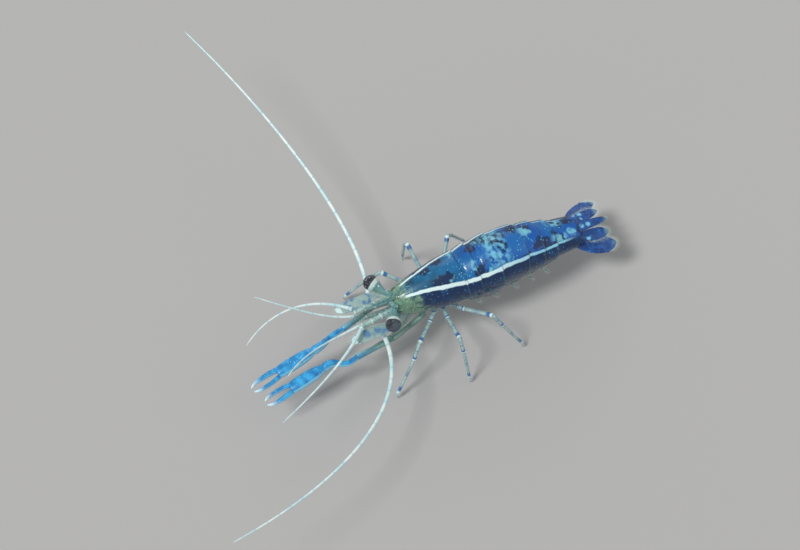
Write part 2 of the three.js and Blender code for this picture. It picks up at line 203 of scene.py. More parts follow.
def from_spine(back, left, height):
    """Points to the side of the axis and above it."""
    centre, _, upward = spine_frame(back)
    left, height = np.asarray(left)[..., None], np.asarray(height)[..., None]
    return centre + left * np.array([1.0, 0, 0]) + height * upward


def on_body(back, angle, lift, depth=1.0):
    """Points on the body's outer form, at an angle round it from the back, lifted off it. Depth is
    the share of its reach below the axis."""
    back, angle, lift = np.broadcast_arrays(np.asarray(back, float), angle, lift)
    width, above, below = section(back)
    across, height = np.sin(angle), np.cos(angle)
    low = height < 0
    across = np.where(low, np.sign(across) * np.abs(across) ** SQUARENESS, across)
    deep = -(np.abs(height) ** SQUARENESS) * (below * depth + lift)
    height = np.where(low, deep, height * (above + lift))
    return from_spine(back, across * (width + lift), height)


# ---------------------------------------------------------------- shapes in millimetres
class Shape:
    """Points and faces, with a lie (along, around) at each corner of a face."""

    def __init__(self):
        self.points, self.faces, self.lies, self.finishes = [], [], [], []

    def add_points(self, points):
        start = len(self.points)
        self.points.extend(np.asarray(points).reshape(-1, 3))
        return np.arange(start, len(self.points))

    def add_face(self, corners, lies, finish):
        self.faces.append([int(c) for c in corners])
        self.lies.append(lies)
        self.finishes.append(finish)

    def grid(self, points, lie, finish=0, wrap=False):
        """Quads over points[i, j]. A wrapped grid closes round j, and its lie has a column more."""
        index = self.add_points(points).reshape(points.shape[:2])
        if wrap:
            index = np.concatenate([index, index[:, :1]], axis=1)
        for i in range(index.shape[0] - 1):
            for j in range(index.shape[1] - 1):
                cells = ((i, j), (i, j + 1), (i + 1, j + 1), (i + 1, j))
                self.add_face([index[c] for c in cells], [lie[c] for c in cells], finish)
        return index

    def fan(self, ring, pole, lies, finish=0):
        """Triangles from a closed ring, whose last entry repeats its first, to one point."""
        top = self.add_points(pole)[0]
        for j in range(len(ring) - 1):
            self.add_face([ring[j], ring[j + 1], top], [lies[j], lies[j + 1], lies[j]], finish)


def frames_along(path, up):
    """Tangent, side and lift directions at each point of a path."""
    tangents = unit(np.gradient(path, axis=0))
    lift = np.asarray(up, float)
    lifts = []
    for tangent in tangents:
        lift = unit(lift - tangent * lift.dot(tangent))
        lifts.append(lift)
    lifts = np.array(lifts)
    return tangents, np.cross(lifts, tangents), lifts


def spread(radii, count):
    """Radii as (to the side, to the other side, height) for each station. They may be given as one
    radius for each station, or as a width and a height."""
    radii = np.asarray(radii, float).reshape(count, -1)
    columns = {1: [0, 0, 0], 2: [0, 0, 1], 3: [0, 1, 2]}
    return radii[:, columns[radii.shape[1]]]


DOME = np.radians([35, 65])  # where the rings of a tube's domed end lie


def tube(shape, path, radii, up=UPRIGHT, around=12, marks=None, finish=0, blunt=(0.6, 0.6), rib=0.0):
    """A closed round or flat limb along a path. Its ends are domes, and blunt says how far each
    stands out as a share of the radius there. A rib thickens a flat one along its middle."""
    path = np.asarray(path, float)
    radii = spread(radii, len(path))
    steps = np.linalg.norm(np.diff(path, axis=0), axis=1)
    marks = np.concatenate([[0], np.cumsum(steps)]) if marks is None else np.asarray(marks, float)
    tangents, sides, lifts = frames_along(path, up)
    ends = []
    for end, sign, share in ((0, -1, blunt[0]), (-1, 1, blunt[1])):
        out = sign * share * radii[end].mean() * tangents[end]
        ends.append(([path[end] + out * math.sin(arc) for arc in DOME], path[end] + out))
    order = np.r_[0, 0, np.arange(len(path)), len(path) - 1, len(path) - 1]
    centres = np.concatenate([ends[0][0][::-1], path, ends[1][0]])
    shrink = np.r_[np.cos(DOME[::-1]), np.ones(len(path)), np.cos(DOME)]
    turns = np.arange(around) * 2 * math.pi / around
    plus, minus, height = (radii[order].T * shrink)[:, :, None]
    across = np.where(np.cos(turns) > 0, plus, minus) * np.cos(turns)
    tall = height * np.sin(turns) * (1 + rib * bump(0, 0.25, np.cos(turns)))
    sides, lifts = sides[order][:, None], lifts[order][:, None]
    points = centres[:, None] + sides * across[..., None] + lifts * tall[..., None]
    lie = np.stack(np.meshgrid(marks[order], np.arange(around + 1) / around, indexing="ij"), axis=-1)
    index = shape.grid(points, lie, finish, wrap=True)
    shape.fan(index[0], ends[0][1], lie[0], finish)
    shape.fan(index[-1], ends[1][1], lie[-1], finish)


def rod(shape, points, rows, span, count=24, up=UPRIGHT, around=14, blunt=(0.6, 0.6)):
    """A limb on a smooth curve through points. Each row is a place along it, from 0 to 1, with the
    half width there and, where it isn't round, the half height. Its lie runs over the span. The
    curve's points come back."""
    rows = np.array(rows, float)
    radii = flow(rows[:, 0], rows[:, 1:], np.linspace(0, 1, count))
    path = trail(points, count)
    tube(shape, path, radii, up, around, np.linspace(*span, count), blunt=blunt)
    return path


def oval(rows, tall):
    """Rows for a rod whose height is everywhere the same share of its width."""
    return [(share, width, width * tall) for share, width in rows]


def cone(shape, root, tip, radius, up=UPRIGHT, lean=(0, 0, 0), around=8, flat=1.0, finish=0, mark=0.0):
    """A sharp spine or tooth, whose middle is pushed aside by lean."""
    root, tip = np.asarray(root, float), np.asarray(tip, float)
    path = bow(root, (root + tip) / 2 + np.asarray(lean, float), tip, 6)
    taper = radius * np.array([1, 0.86, 0.68, 0.48, 0.27, 0.07])
    radii = np.stack([taper * flat, taper], axis=-1)
    tube(shape, path, radii, up, around, np.full(6, mark), finish, blunt=(0.2, 0.6))


def plate(shape, outer, lie):
    """A shell under a grid of points whose faces look outwards, thinner towards its rear, with a
    rounded rim all round."""
    normals = unit(np.cross(np.gradient(outer, axis=1), np.gradient(outer, axis=0)))
    thickness = SHELL * (1 - 0.6 * rise(0.75, 1.0, np.linspace(0, 1, len(outer))))
    inner = outer - normals * thickness[:, None, None]
    top = shape.grid(outer, lie)
    under = shape.grid(inner[:, ::-1], lie[:, ::-1])[:, ::-1]
    last, end = outer.shape[0] - 1, outer.shape[1] - 1
    loop = [(0, j) for j in range(end)] + [(i, end) for i in range(last)]
    loop += [(last, j) for j in range(end, 0, -1)] + [(i, 0) for i in range(last, 0, -1)]
    middle = (outer + inner) / 2
    rim = []
    for i, j in loop:
        within = (min(max(i, 1), last - 1), j) if i in (0, last) else (i, min(max(j, 1), end - 1))
        rim.append(middle[i, j] + unit(middle[i, j] - middle[within]) * thickness[i] / 2)
    edge = shape.add_points(np.array(rim))
    for k, cell in enumerate(loop):
        following = loop[(k + 1) % len(loop)]
        a, b = edge[k], edge[(k + 1) % len(loop)]
        lies = [lie[cell], lie[following], lie[following], lie[cell]]
        shape.add_face([top[cell], a, b, top[following]], lies, 0)
        shape.add_face([a, under[cell], under[following], b], lies, 0)


class Blade:
    """A flat fin from its root to its tip. Plus and minus are rows of its half widths from the root to
    the tip, on its two sides, and tip is the rounded share of its length."""

    def __init__(self, path, plus, minus, thickness, up, tip=0.22, rib=0.5):
        share = np.linspace(0, 1, len(path))
        round_tip = np.sqrt(1 - (np.clip(share - 1 + tip, 0, 1) / tip) ** 2)
        round_tip = np.maximum(round_tip, 0.12)
        self.path = path
        self.plus = flow(np.linspace(0, 1, len(plus)), plus, share) * round_tip
        self.minus = flow(np.linspace(0, 1, len(minus)), minus, share) * round_tip
        self.thick = thickness / 2 * (1 - 0.45 * share) * np.maximum(round_tip, 0.4)
        self.up, self.rib = up, rib
        self.tipward = unit(path[-1] - path[0])
        _, self.sides, self.lifts = frames_along(path, up)

    def into(self, shape, span=(0, 1), around=28):
        radii = np.stack([self.plus, self.minus, self.thick], axis=-1)
        marks = np.linspace(*span, len(self.path))
        tube(shape, self.path, radii, self.up, around, marks, blunt=(0.3, 0.4), rib=self.rib)

    def edge(self, start, end, count):
        """Roots and outward directions along the edge, from a share of it to another. Share 0 is the
        root on the plus side, 0.5 is the tip and 1 the root on the other side."""
        first = self.path + self.sides * self.plus[:, None]
        second = self.path - self.sides * self.minus[:, None]
        tip = self.path[-1] + (self.path[-1] - self.path[-2]) * 0.5
        line = np.concatenate([first, tip[None], second[::-1]])
        lifts = np.concatenate([self.lifts, self.lifts[-1:], self.lifts[::-1]])
        out = unit(np.cross(lifts, np.gradient(line, axis=0)))
        keys = np.concatenate([[0], np.cumsum(np.linalg.norm(np.diff(line, axis=0), axis=1))])
        wanted = np.linspace(start, end, count) * keys[-1]
        roots, outs = (
            np.stack([np.interp(wanted, keys, column) for column in table.T], axis=-1)
            for table in (line, out)
        )
        return roots, unit(outs)


# ---------------------------------------------------------------- node trees
class Wire:
    """An output socket of a node tree. Arithmetic on it adds Math nodes."""

    def __init__(self, graph, socket):
        self.graph = graph
        self.socket = socket

    def math(self, operation, *others):
        inputs = dict(enumerate((self, *others)))
        return self.graph.node("ShaderNodeMath", {"operation": operation}, inputs)

    def __add__(self, other):
        return self.math("ADD", other)

    def __sub__(self, other):
        return self.math("SUBTRACT", other)

    def __rsub__(self, other):
        return self.math("MULTIPLY_ADD", -1.0, other)

    def __mul__(self, other):
        return self.math("MULTIPLY", other)

    def __truediv__(self, other):
        return self.math("DIVIDE", other)

    def __pow__(self, other):
        return self.math("POWER", other)

    def __abs__(self):
        return self.math("ABSOLUTE")

    __radd__ = __add__
    __rmul__ = __mul__

    def rise(self, low, high):
        """0 where the value is low, 1 where it is high and smooth between, in either order."""
        inputs = {"Value": self, "From Min": low, "From Max": high}
        return self.graph.node("ShaderNodeMapRange", {"interpolation_type": "SMOOTHSTEP"}, inputs)

    def near(self, middle, width, soft):
        """1 within half a width of the middle, 0 past it by the soft edge."""
        return abs(self - middle).rise(width / 2 + soft, width / 2)

    def wave(self, length):
        """-1 to 1, once for each length."""
        return (self * (2 * math.pi / length)).math("SINE")


class Graph:
    """A node tree under construction."""

    def __init__(self, tree):
        self.tree = tree

    def node(self, kind, settings=None, inputs=None, output=0):
        made = self.tree.nodes.new(kind)
        for name, value in (settings or {}).items():
            if name == "stops":
                self.set_stops(made.color_ramp.elements, value)
            else:
                setattr(made, name, value)
        for key, value in (inputs or {}).items():
            if isinstance(value, Wire):
                self.tree.links.new(value.socket, made.inputs[key])
            else:
                made.inputs[key].default_value = value
        return Wire(self, made.outputs[output]) if made.outputs else None

    def set_stops(self, elements, stops):
        while len(elements) < len(stops):
            elements.new(1.0)
        for element, (place, colour) in zip(elements, stops):
            element.position = place
            element.color = colour


class Finish(Graph):
    """A material's node tree. Lengths in it are millimetres."""

    def __init__(self, name):
        self.material = bpy.data.materials.new(name)
        self.material.use_nodes = True
        super().__init__(self.material.node_tree)
        self.tree.nodes.clear()

    def place(self):
        """Object coordinates in millimetres."""
        place = self.node("ShaderNodeTexCoord", output="Object")
        return self.node("ShaderNodeVectorMath", {"operation": "SCALE"}, {0: place, "Scale": 1 / MM})

    def lie(self):
        """The two numbers of the piece's Lie map, along it and around it."""
        lie = self.node("ShaderNodeUVMap", {"uv_map": "Lie"})
        along = self.node("ShaderNodeSeparateXYZ", inputs={0: lie})
        return along, Wire(self, along.socket.node.outputs[1])

    def vector(self, x, y):
        return self.node("ShaderNodeCombineXYZ", inputs={0: x, 1: y, 2: 0.0})

    def noise(self, where, scale, detail=2.0, rough=0.5):
        inputs = {"Vector": where, "Scale": scale, "Detail": detail, "Roughness": rough}
        return self.node("ShaderNodeTexNoise", inputs=inputs)

    def spots(self, where, scale, random=1.0, feature="F1"):
        """The distance to the middle of the nearest of many cells, or to its edge."""
        inputs = {"Vector": where, "Scale": scale, "Randomness": random}
        return self.node("ShaderNodeTexVoronoi", {"feature": feature}, inputs, "Distance")

    def blend(self, mask, under, over):
        """A colour over another where the mask is 1."""
        return self.node("ShaderNodeMix", {"data_type": "RGBA"}, {0: mask, 6: under, 7: over}, output=2)

    def shade(self, value, stops):
        """A colour looked up along a row of stops."""
        return self.node("ShaderNodeValToRGB", {"stops": stops}, {0: value})

    def bumps(self, height, distance):
        inputs = {"Height": height, "Distance": distance * MM, "Strength": 1.0}
        return self.node("ShaderNodeBump", inputs=inputs)

    def surface(self, colour, **sockets):
        """Ends the material in one shader and returns the material."""
        inputs = {name.replace("_", " "): value for name, value in sockets.items()}
        shader = self.node("ShaderNodeBsdfPrincipled", inputs={"Base Color": colour} | inputs)
        self.node("ShaderNodeOutputMaterial", inputs={"Surface": shader})
        return self.material

    def clear_cuticle(self, colour, cover, place):
        """Ends the material as the glassy skin of a limb."""
        grain = self.bumps(self.noise(place, 16.0), 0.01)
        return self.surface(colour, Alpha=cover, Roughness=0.2, Coat_Weight=0.35, Normal=grain)


def tint(red, green, blue):
    """A colour given as it shows on a screen, from 0 to 255."""
    shares = [part / 255 for part in (red, green, blue)]
    linear = [s / 12.92 if s <= 0.04045 else ((s + 0.055) / 1.055) ** 2.4 for s in shares]
    return (*linear, 1.0)


ROYAL = tint(26, 78, 172)
SKY = tint(122, 198, 236)
ICE = tint(222, 246, 248)
GLASS = tint(186, 216, 208)
GREENISH = tint(118, 162, 130)


def grey(value):
    """A plain grey, given as the share of light that it returns."""
    return (value, value, value, 1.0)


# ---------------------------------------------------------------- materials
LINE_SPAN = 15.0  # the ramp's length, in millimetres
LINE_TURN = 1.6  # the ramp's height, in radians
# The angle of the white line on each flank, in radians, at places behind the eye sockets.
LINE_ANGLES = (
    (0.0, 0.48),
    (1.0, 0.50),
    (2.1, 0.60),
    (3.3, 0.73),
    (4.8, 0.84),
    (7.0, 0.90),
    (10.0, 0.88),
    (14.0, 0.74),
)


def body_marks(f, back, angle):
    """Masks of the markings: the white lines, the field between them and the spots on it."""
    stops = [(b / LINE_SPAN, grey(a / LINE_TURN)) for b, a in LINE_ANGLES]
    place = f.place()
    cloud = f.noise(place, 1.1, 2.0)
    ragged = f.noise(place, 2.4, 2.0, 0.45)
    line_angle = f.shade(back / LINE_SPAN, stops) * LINE_TURN + (cloud - 0.5) * 0.10
    turned = abs(angle)
    width = 0.13 - 0.06 * back.rise(6.0, 12.5)
    line = turned.near(line_angle + (ragged - 0.5) * 0.05, width, 0.05)
    line = line * back.rise(0.2, 0.7) * back.rise(15.2, 13.6)
    inside = turned.rise(line_angle + (ragged - 0.5) * 0.14, line_angle - 0.08)
    dark_cells = f.spots(f.vector(back * 0.85, angle * 1.35), 1.0, 0.85)
    blotch = (dark_cells + (ragged - 0.5) * 0.8).rise(0.56, 0.36)
    pale_cells = f.spots(f.vector(back * 0.62 + 5.1, angle * 1.2 + 2.3), 1.0, 0.9)
    pale = (pale_cells + (ragged - 0.5) * 0.8).rise(0.34, 0.14) * back.rise(2.5, 4.5)
    saddle = back.near(8.3, 0.9, 0.6) * turned.rise(1.0, 0.6) * ragged.rise(0.36, 0.60)
    tail_pair = back.near(13.5, 0.9, 0.5) * turned.near(0.50, 0.26, 0.2) * ragged.rise(0.40, 0.52)
    specks = f.spots(place, 4.2).rise(0.26, 0.14) * cloud.rise(0.42, 0.56)
    return {
        "place": place,
        "line": line,
        "inside": inside,
        "blotch": blotch,
        "pale": pale.math("MAXIMUM", saddle).math("MAXIMUM", tail_pair),
        "specks": specks,
        "turned": turned,
        "ragged": ragged,
    }


def shell_finish():
    """Shell plates: the marked field, blue flanks and the greenish head, thinly see-through."""
    f = Finish("clear_shell_marked")
    back, angle = f.lie()
    m = body_marks(f, back, angle)
    rear = (back + m["ragged"] * 2.0).rise(4.5, 8.5)
    field = f.blend(rear, tint(12, 94, 134), tint(10, 92, 184))
    field = f.blend(f.noise(m["place"], 0.7, 3.0).rise(0.42, 0.62) * 0.5, field, tint(30, 126, 190))
    field = f.blend(m["blotch"] * 0.94, field, tint(0, 30, 72))
    field = f.blend(m["pale"] * 0.8, field, tint(124, 206, 232))
    field = f.blend(m["specks"] * 0.9, field, tint(112, 210, 228))
    flank = f.blend(m["turned"].rise(1.5, 2.2), tint(0, 44, 90), tint(6, 78, 104))
    flank = f.blend(f.noise(m["place"], 1.6, 3.0).rise(0.50, 0.64) * 0.6, flank, tint(10, 78, 132))
    flank = f.blend(m["specks"] * 0.6, flank, SKY)
    coloured = f.blend(m["inside"], flank, field)
    rims = sum(back.near(ring + 0.08, 0.06, 0.03) for ring in RING_BACKS[:-1])
    coloured = f.blend(rims * 0.12, coloured, tint(110, 180, 214))
    head = (back - 0.9 * m["turned"] + (m["ragged"] - 0.5) * 3.0).rise(1.2, -0.1)
    dots = f.spots(m["place"], 5.2).rise(0.24, 0.14)
    front = f.blend(f.noise(m["place"], 3.0, 3.0).rise(0.40, 0.62), GREENISH, tint(150, 196, 166))
    front = f.blend(dots * 0.85, front, ICE)
    front = f.blend(f.spots(m["place"], 3.1).rise(0.20, 0.12) * 0.9, front, tint(20, 84, 150))
    coloured = f.blend(head * 0.92, coloured, front)
    colour = f.blend(m["line"], coloured, f.blend(back.rise(6.0, 12.0), ICE, tint(138, 206, 232)))
    low = m["turned"].rise(1.75, 2.35)
    field_cover = 0.80 + 0.16 * m["blotch"]
    flank_cover = (0.86 - 0.50 * low).math("MAXIMUM", m["specks"] * 0.7)
    cover = m["inside"] * field_cover + (1 - m["inside"]) * flank_cover
    cover = cover * (1 - 0.5 * head) + 0.4 * head * dots
    cover = cover.math("MAXIMUM", m["line"]).math("MAXIMUM", m["pale"] * 0.9)
    pits = f.spots(m["place"], 11.0) + 0.6 * f.noise(m["place"], 18.0, 2.0)
    return f.surface(
        colour,
        Alpha=cover.math("MAXIMUM", 0.38),
        Roughness=0.24 + 0.16 * f.noise(m["place"], 5.0),
        IOR=1.45,
        Coat_Weight=0.35,
        Coat_Roughness=0.12,
        Normal=f.bumps(pits, 0.005),
    )


def flesh_finish():
    """The flesh under the shell: greenish with darker patches in the head, blue behind."""
    f = Finish("flesh_under_shell")
    back, angle = f.lie()
    place = f.place()
    cloud = f.noise(place, 1.3, 3.0)
    rear = back.rise(2.6, 5.0)
    front = f.blend(cloud.rise(0.35, 0.65), tint(116, 160, 132), tint(64, 112, 98))
    lobes = f.spots(place, 1.7, 0.9)
    front = f.blend(lobes.rise(0.50, 0.20) * 0.6, front, tint(70, 84, 62))
    front = f.blend(f.spots(place, 2.9).rise(0.26, 0.12) * 0.7, front, tint(176, 198, 160))
    stomach = back.near(1.7, 0.8, 0.7) * abs(angle).rise(1.1, 0.5)
    front = f.blend(stomach * 0.7, front, tint(92, 88, 56))
    behind = f.blend(cloud, tint(8, 52, 92), tint(14, 72, 128))
    colour = f.blend(rear, front, behind)
    gut = abs(angle).rise(0.16, 0.06) * back.rise(2.4, 3.2)
    colour = f.blend(gut * 0.6, colour, tint(14, 30, 44))
    belly = abs(angle).rise(1.9, 2.6)
    colour = f.blend(belly * 0.6, colour, tint(150, 190, 184))
    bars = sum(back.near(ring + 0.12, 0.12, 0.08) for ring in RING_BACKS[:-1])
    colour = f.blend(bars * belly * 0.6, colour, tint(214, 232, 226))
    colour = f.blend(belly * f.spots(place, 2.6).rise(0.22, 0.12), colour, tint(40, 96, 150))
    fibres = f.noise(f.vector(back * 3.0, angle * 0.8), 2.0, 3.0)
    colour = f.blend(fibres * 0.25, colour, tint(190, 214, 206))
    stump = f.blend(cloud.rise(0.36, 0.62), tint(6, 44, 104), tint(16, 92, 172))
    stump = f.blend(f.spots(place, 2.2).rise(0.24, 0.14) * 0.8, stump, tint(112, 200, 226))
    colour = f.blend(back.rise(TAIL_END - 0.40, TAIL_END - 0.15) * 0.94, colour, stump)
    return f.surface(colour, Roughness=0.45, Coat_Weight=0.3, Normal=f.bumps(fibres, 0.03))


def rostrum_finish():
    """The rostrum: greenish and half clear, paler towards its tip."""
    f = Finish("rostrum_clear")
    along, _ = f.lie()
    place = f.place()
    cloud = f.noise(place, 3.0, 2.0)
    colour = f.blend(cloud.rise(0.4, 0.6), tint(150, 196, 176), tint(96, 152, 164))
    colour = f.blend(f.spots(place, 4.6).rise(0.22, 0.12) * 0.8, colour, ICE)
    tip = along.rise(1.6, 3.3)
    colour = f.blend(tip * 0.6, colour, ICE)
    grain = f.bumps(f.noise(place, 12.0), 0.01)
    cover = 0.62 + 0.2 * cloud
    return f.surface(colour, Alpha=cover, Roughness=0.22, Coat_Weight=0.35, Normal=grain)


def fan_finish():
    """Tail fan: royal and navy, with sky-blue spots and a clear rim."""
    f = Finish("tail_fan_clear")
    along, around = f.lie()
    place = f.place()
    cloud = f.noise(place, 1.8, 3.0)
    field = f.blend(cloud.rise(0.42, 0.58), tint(6, 62, 128), tint(14, 98, 186))
    spot = f.spots(place, 1.3, 0.9).rise(0.34, 0.16) * cloud.rise(0.40, 0.48)
    colour = f.blend(cloud.rise(0.50, 0.62) * 0.8, field, tint(0, 30, 84))
    colour = f.blend(spot * 0.9, colour, tint(120, 196, 232))
    clear = (along + (cloud - 0.5) * 0.3).rise(0.82, 1.0)
    colour = f.blend(clear * 0.8, colour, tint(116, 170, 190))
    ribs = (around * 14.0).wave(1.0) * 0.5 + 0.5
    cover = (0.90 - 0.40 * clear).math("MAXIMUM", spot)
    return f.surface(colour, Alpha=cover, Roughness=0.26, Coat_Weight=0.3, Normal=f.bumps(ribs, 0.008))


def glass_limb_finish():
    """Mouth legs, stalks and paddles: glassy, with faint blue dots and white joints."""
    f = Finish("limb_clear")
    along, _ = f.lie()
    place = f.place()
    share = along.math("FRACT")
    joint = share.rise(0.90, 0.98)
    dots = f.spots(place, 3.6).rise(0.24, 0.15) * f.noise(place, 0.8).rise(0.46, 0.6)
    colour = f.blend(f.noise(place, 2.0).rise(0.35, 0.65), GLASS, tint(150, 196, 200))
    colour = f.blend(dots * 0.9, colour, tint(34, 96, 168))
    colour = f.blend(joint * 0.7, colour, ICE)
    cover = (0.40 + 0.35 * joint).math("MAXIMUM", dots * 0.9)
    return f.clear_cuticle(colour, cover, place)


def banded_leg_finish():
    """Walking legs: glassy, with soft blue and white bands at the joints."""
    f = Finish("leg_banded")
    along, _ = f.lie()
    place = f.place()
    cloud = f.noise(place, 3.0)
    share = along.math("FRACT") + (cloud - 0.5) * 0.06
    white = share.near(0.94, 0.05, 0.03)
    blue = share.near(0.84, 0.07, 0.06)
    middle = share.near(0.42, 0.05, 0.07) * 0.5
    colour = f.blend(f.noise(place, 2.0), tint(188, 218, 216), tint(148, 192, 204))
    colour = f.blend(blue.math("MAXIMUM", middle), colour, tint(48, 116, 184))
    colour = f.blend(white * 0.9, colour, ICE)
    cover = (0.38 + 0.42 * blue).math("MAXIMUM", white * 0.85).math("MAXIMUM", middle)
    return f.clear_cuticle(colour, cover, place)


def muscle_finish():
    """The pale core of a limb."""
    f = Finish("limb_core")
    place = f.place()
    strands = f.noise(place, 4.0, 3.0)
    colour = f.blend(strands.rise(0.35, 0.65), tint(150, 190, 188), tint(214, 232, 226))
    return f.surface(colour, Roughness=0.5, Normal=f.bumps(strands, 0.02))


def claw_finish():
    """Chelipeds: azure with pale edges, and clear towards their base."""
    f = Finish("claw_azure")
    along, around = f.lie()
    place = f.place()
    cloud = f.noise(place, 1.6, 3.0)
    colour = f.blend(cloud.rise(0.35, 0.65), tint(14, 128, 194), tint(54, 176, 236))
    deep = f.spots(place, 1.9, 1.0).rise(0.38, 0.14)
    colour = f.blend(deep * 0.5, colour, tint(6, 96, 172))
    aside = abs(around - 0.5)
    edge = aside.near(0.5, 0.16, 0.05).math("MAXIMUM", aside.near(0.0, 0.10, 0.05))
    colour = f.blend(edge * 0.75, colour, tint(150, 216, 240))
    base = along.rise(3.3, 2.2)
    colour = f.blend(base, colour, tint(110, 160, 150))
    tip = along.rise(9.2, 9.9)
    colour = f.blend(tip * 0.85, colour, ICE)
    specks = f.spots(place, 5.0).rise(0.2, 0.12) * f.noise(place, 1.0).rise(0.52, 0.62)
    colour = f.blend(specks * 0.8, colour, ICE)
    grain = f.noise(place, 9.0, 3.0)
    return f.surface(
        colour,
        Alpha=0.94 - 0.44 * base,
        Roughness=0.28 + 0.15 * grain,
        Coat_Weight=0.35,
        Coat_Roughness=0.15,
        Normal=f.bumps(grain, 0.02),
    )


def whip_finish():
    """Feelers: white, with a fine grey-blue joint at each ring."""
    f = Finish("feeler_white")
    along = f.node("ShaderNodeAttribute", {"attribute_name": "along"}, output="Fac") * (1 / MM)
    place = f.place()
    cloud = f.noise(place, 0.8, 2.0)
    colour = f.blend(cloud.rise(0.35, 0.65), tint(226, 242, 240), tint(192, 226, 232))
    joint = along.wave(1.1).rise(0.80, 0.98)
    colour = f.blend(joint * 0.35, colour, tint(128, 182, 200))
    return f.surface(colour, Roughness=0.34, Coat_Weight=0.25)


def cornea_finish():
    """The eyes: dark and glossy, with facets, silver dots and paler patches of painted sheen."""
    f = Finish("cornea")
    place = f.place()
    facets = f.bumps(f.spots(place, 17.0, 0.1, "DISTANCE_TO_EDGE"), 0.02)
    painted_sheen = f.noise(place, 1.4, 2.0)
    # Painted sheen: lighter blue-grey patches in the base colour stand in for the eye's reflection.
    colour = f.blend(painted_sheen.rise(0.35, 0.65), tint(24, 32, 42), tint(66, 84, 98))
    silver = f.spots(place, 3.4).rise(0.20, 0.10)
    colour = f.blend(silver * 0.6, colour, tint(190, 206, 206))
    return f.surface(colour, Roughness=0.12, Coat_Weight=0.8, Coat_Roughness=0.05, Normal=facets)


def stalk_finish():
    """Eye stalks: clear greenish, with white and blue dots and a silver rim at the eye."""
    f = Finish("eye_stalk")
    along, _ = f.lie()
    place = f.place()
    dots = f.spots(place, 3.6, 0.9)
    colour = f.blend(f.noise(place, 2.4), tint(120, 172, 160), tint(92, 144, 158))
    colour = f.blend(dots.rise(0.28, 0.18), colour, ICE)
    colour = f.blend(f.spots(place, 2.4, 1.0).rise(0.22, 0.14), colour, ROYAL)
    rim = along.rise(0.78, 0.86)
    colour = f.blend(rim * 0.85, colour, tint(206, 222, 218))
    return f.surface(colour, Alpha=0.78 + 0.2 * rim, Roughness=0.2, Coat_Weight=0.4)


def scale_finish():
    """Antennal scales: clear, with a white outer margin and a blue streak."""
    f = Finish("antenna_scale_clear")
    along, around = f.lie()
    place = f.place()
    cloud = f.noise(place, 2.0, 2.0)
    colour = f.blend(cloud, GLASS, tint(110, 166, 170))
    streak = along.near(0.45, 0.5, 0.1) * cloud.rise(0.48, 0.58)
    colour = f.blend(streak * 0.7, colour, tint(52, 112, 184))
    white = along.near(0.93, 0.08, 0.05)
    colour = f.blend(white, colour, ICE)
    ribs = (around * 12.0).wave(1.0) * 0.5 + 0.5
    cover = (0.5 + 0.3 * streak).math("MAXIMUM", white * 0.9)
    return f.surface(colour, Alpha=cover, Roughness=0.22, Coat_Weight=0.35, Normal=f.bumps(ribs, 0.008))


def bristle_finish():
    """Hairs of the fringes: pale and a little clear."""
    f = Finish("bristle")
    cloud = f.noise(f.place(), 1.5, 1.0)
    colour = f.blend(cloud, tint(196, 220, 216), tint(232, 242, 236))
    return f.surface(colour, Alpha=0.85, Roughness=0.4)


def floor_finish():
    """The floor under the animal: a plain pale grey."""
    f = Finish("floor_pale")
    place = f.node("ShaderNodeTexCoord", output="Object")
    cloud = f.noise(place, 6.0, 3.0)
    colour = f.blend(cloud, grey(0.40), grey(0.43))
    return f.surface(colour, Roughness=0.85)


# ---------------------------------------------------------------- pieces
def in_scene(name, data):
    """A new object in the scene."""
    made = bpy.data.objects.new(name, data)
    bpy.context.scene.collection.objects.link(made)
    return made


def to_piece(name, mesh, materials, nodes):
    """Puts a finished mesh on the animal's one body, in place of the solids that it stands for."""
    for material in materials:
        mesh.materials.append(material)
    piece = in_scene(name, mesh)
    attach(piece, "root")
    if nodes:
        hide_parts(*nodes)


def add_piece(name, shape, materials, slot, *nodes):
    """A finished mesh in metres, with its faces outwards and smooth."""
    mesh = bpy.data.meshes.new(name)
    mesh.from_pydata(np.array(shape.points) * MM, [], shape.faces)
    mesh.polygons.foreach_set("material_index", shape.finishes)
    mesh.polygons.foreach_set("use_smooth", [True] * len(shape.faces))
    lie = mesh.uv_layers.new(name="Lie")
    flat = np.concatenate([np.asarray(lies, float) for lies in shape.lies])
    lie.data.foreach_set("uv", flat.ravel())
    outward = bmesh.new()
    outward.from_mesh(mesh)
    bmesh.ops.recalc_face_normals(outward, faces=outward.faces)
    outward.to_mesh(mesh)
    outward.free()
    to_piece(name, mesh, materials, nodes)


# ---------------------------------------------------------------- body
FLESH_FRONT = -0.42  # the flesh starts this far ahead of the eye sockets
TAIL_STUMP = TAIL_END - 0.05  # where the flesh starts to round off inside the last ring
STUMP_REACH = 0.46
SEGMENT = 0.73  # length of one segment of the thorax, underneath


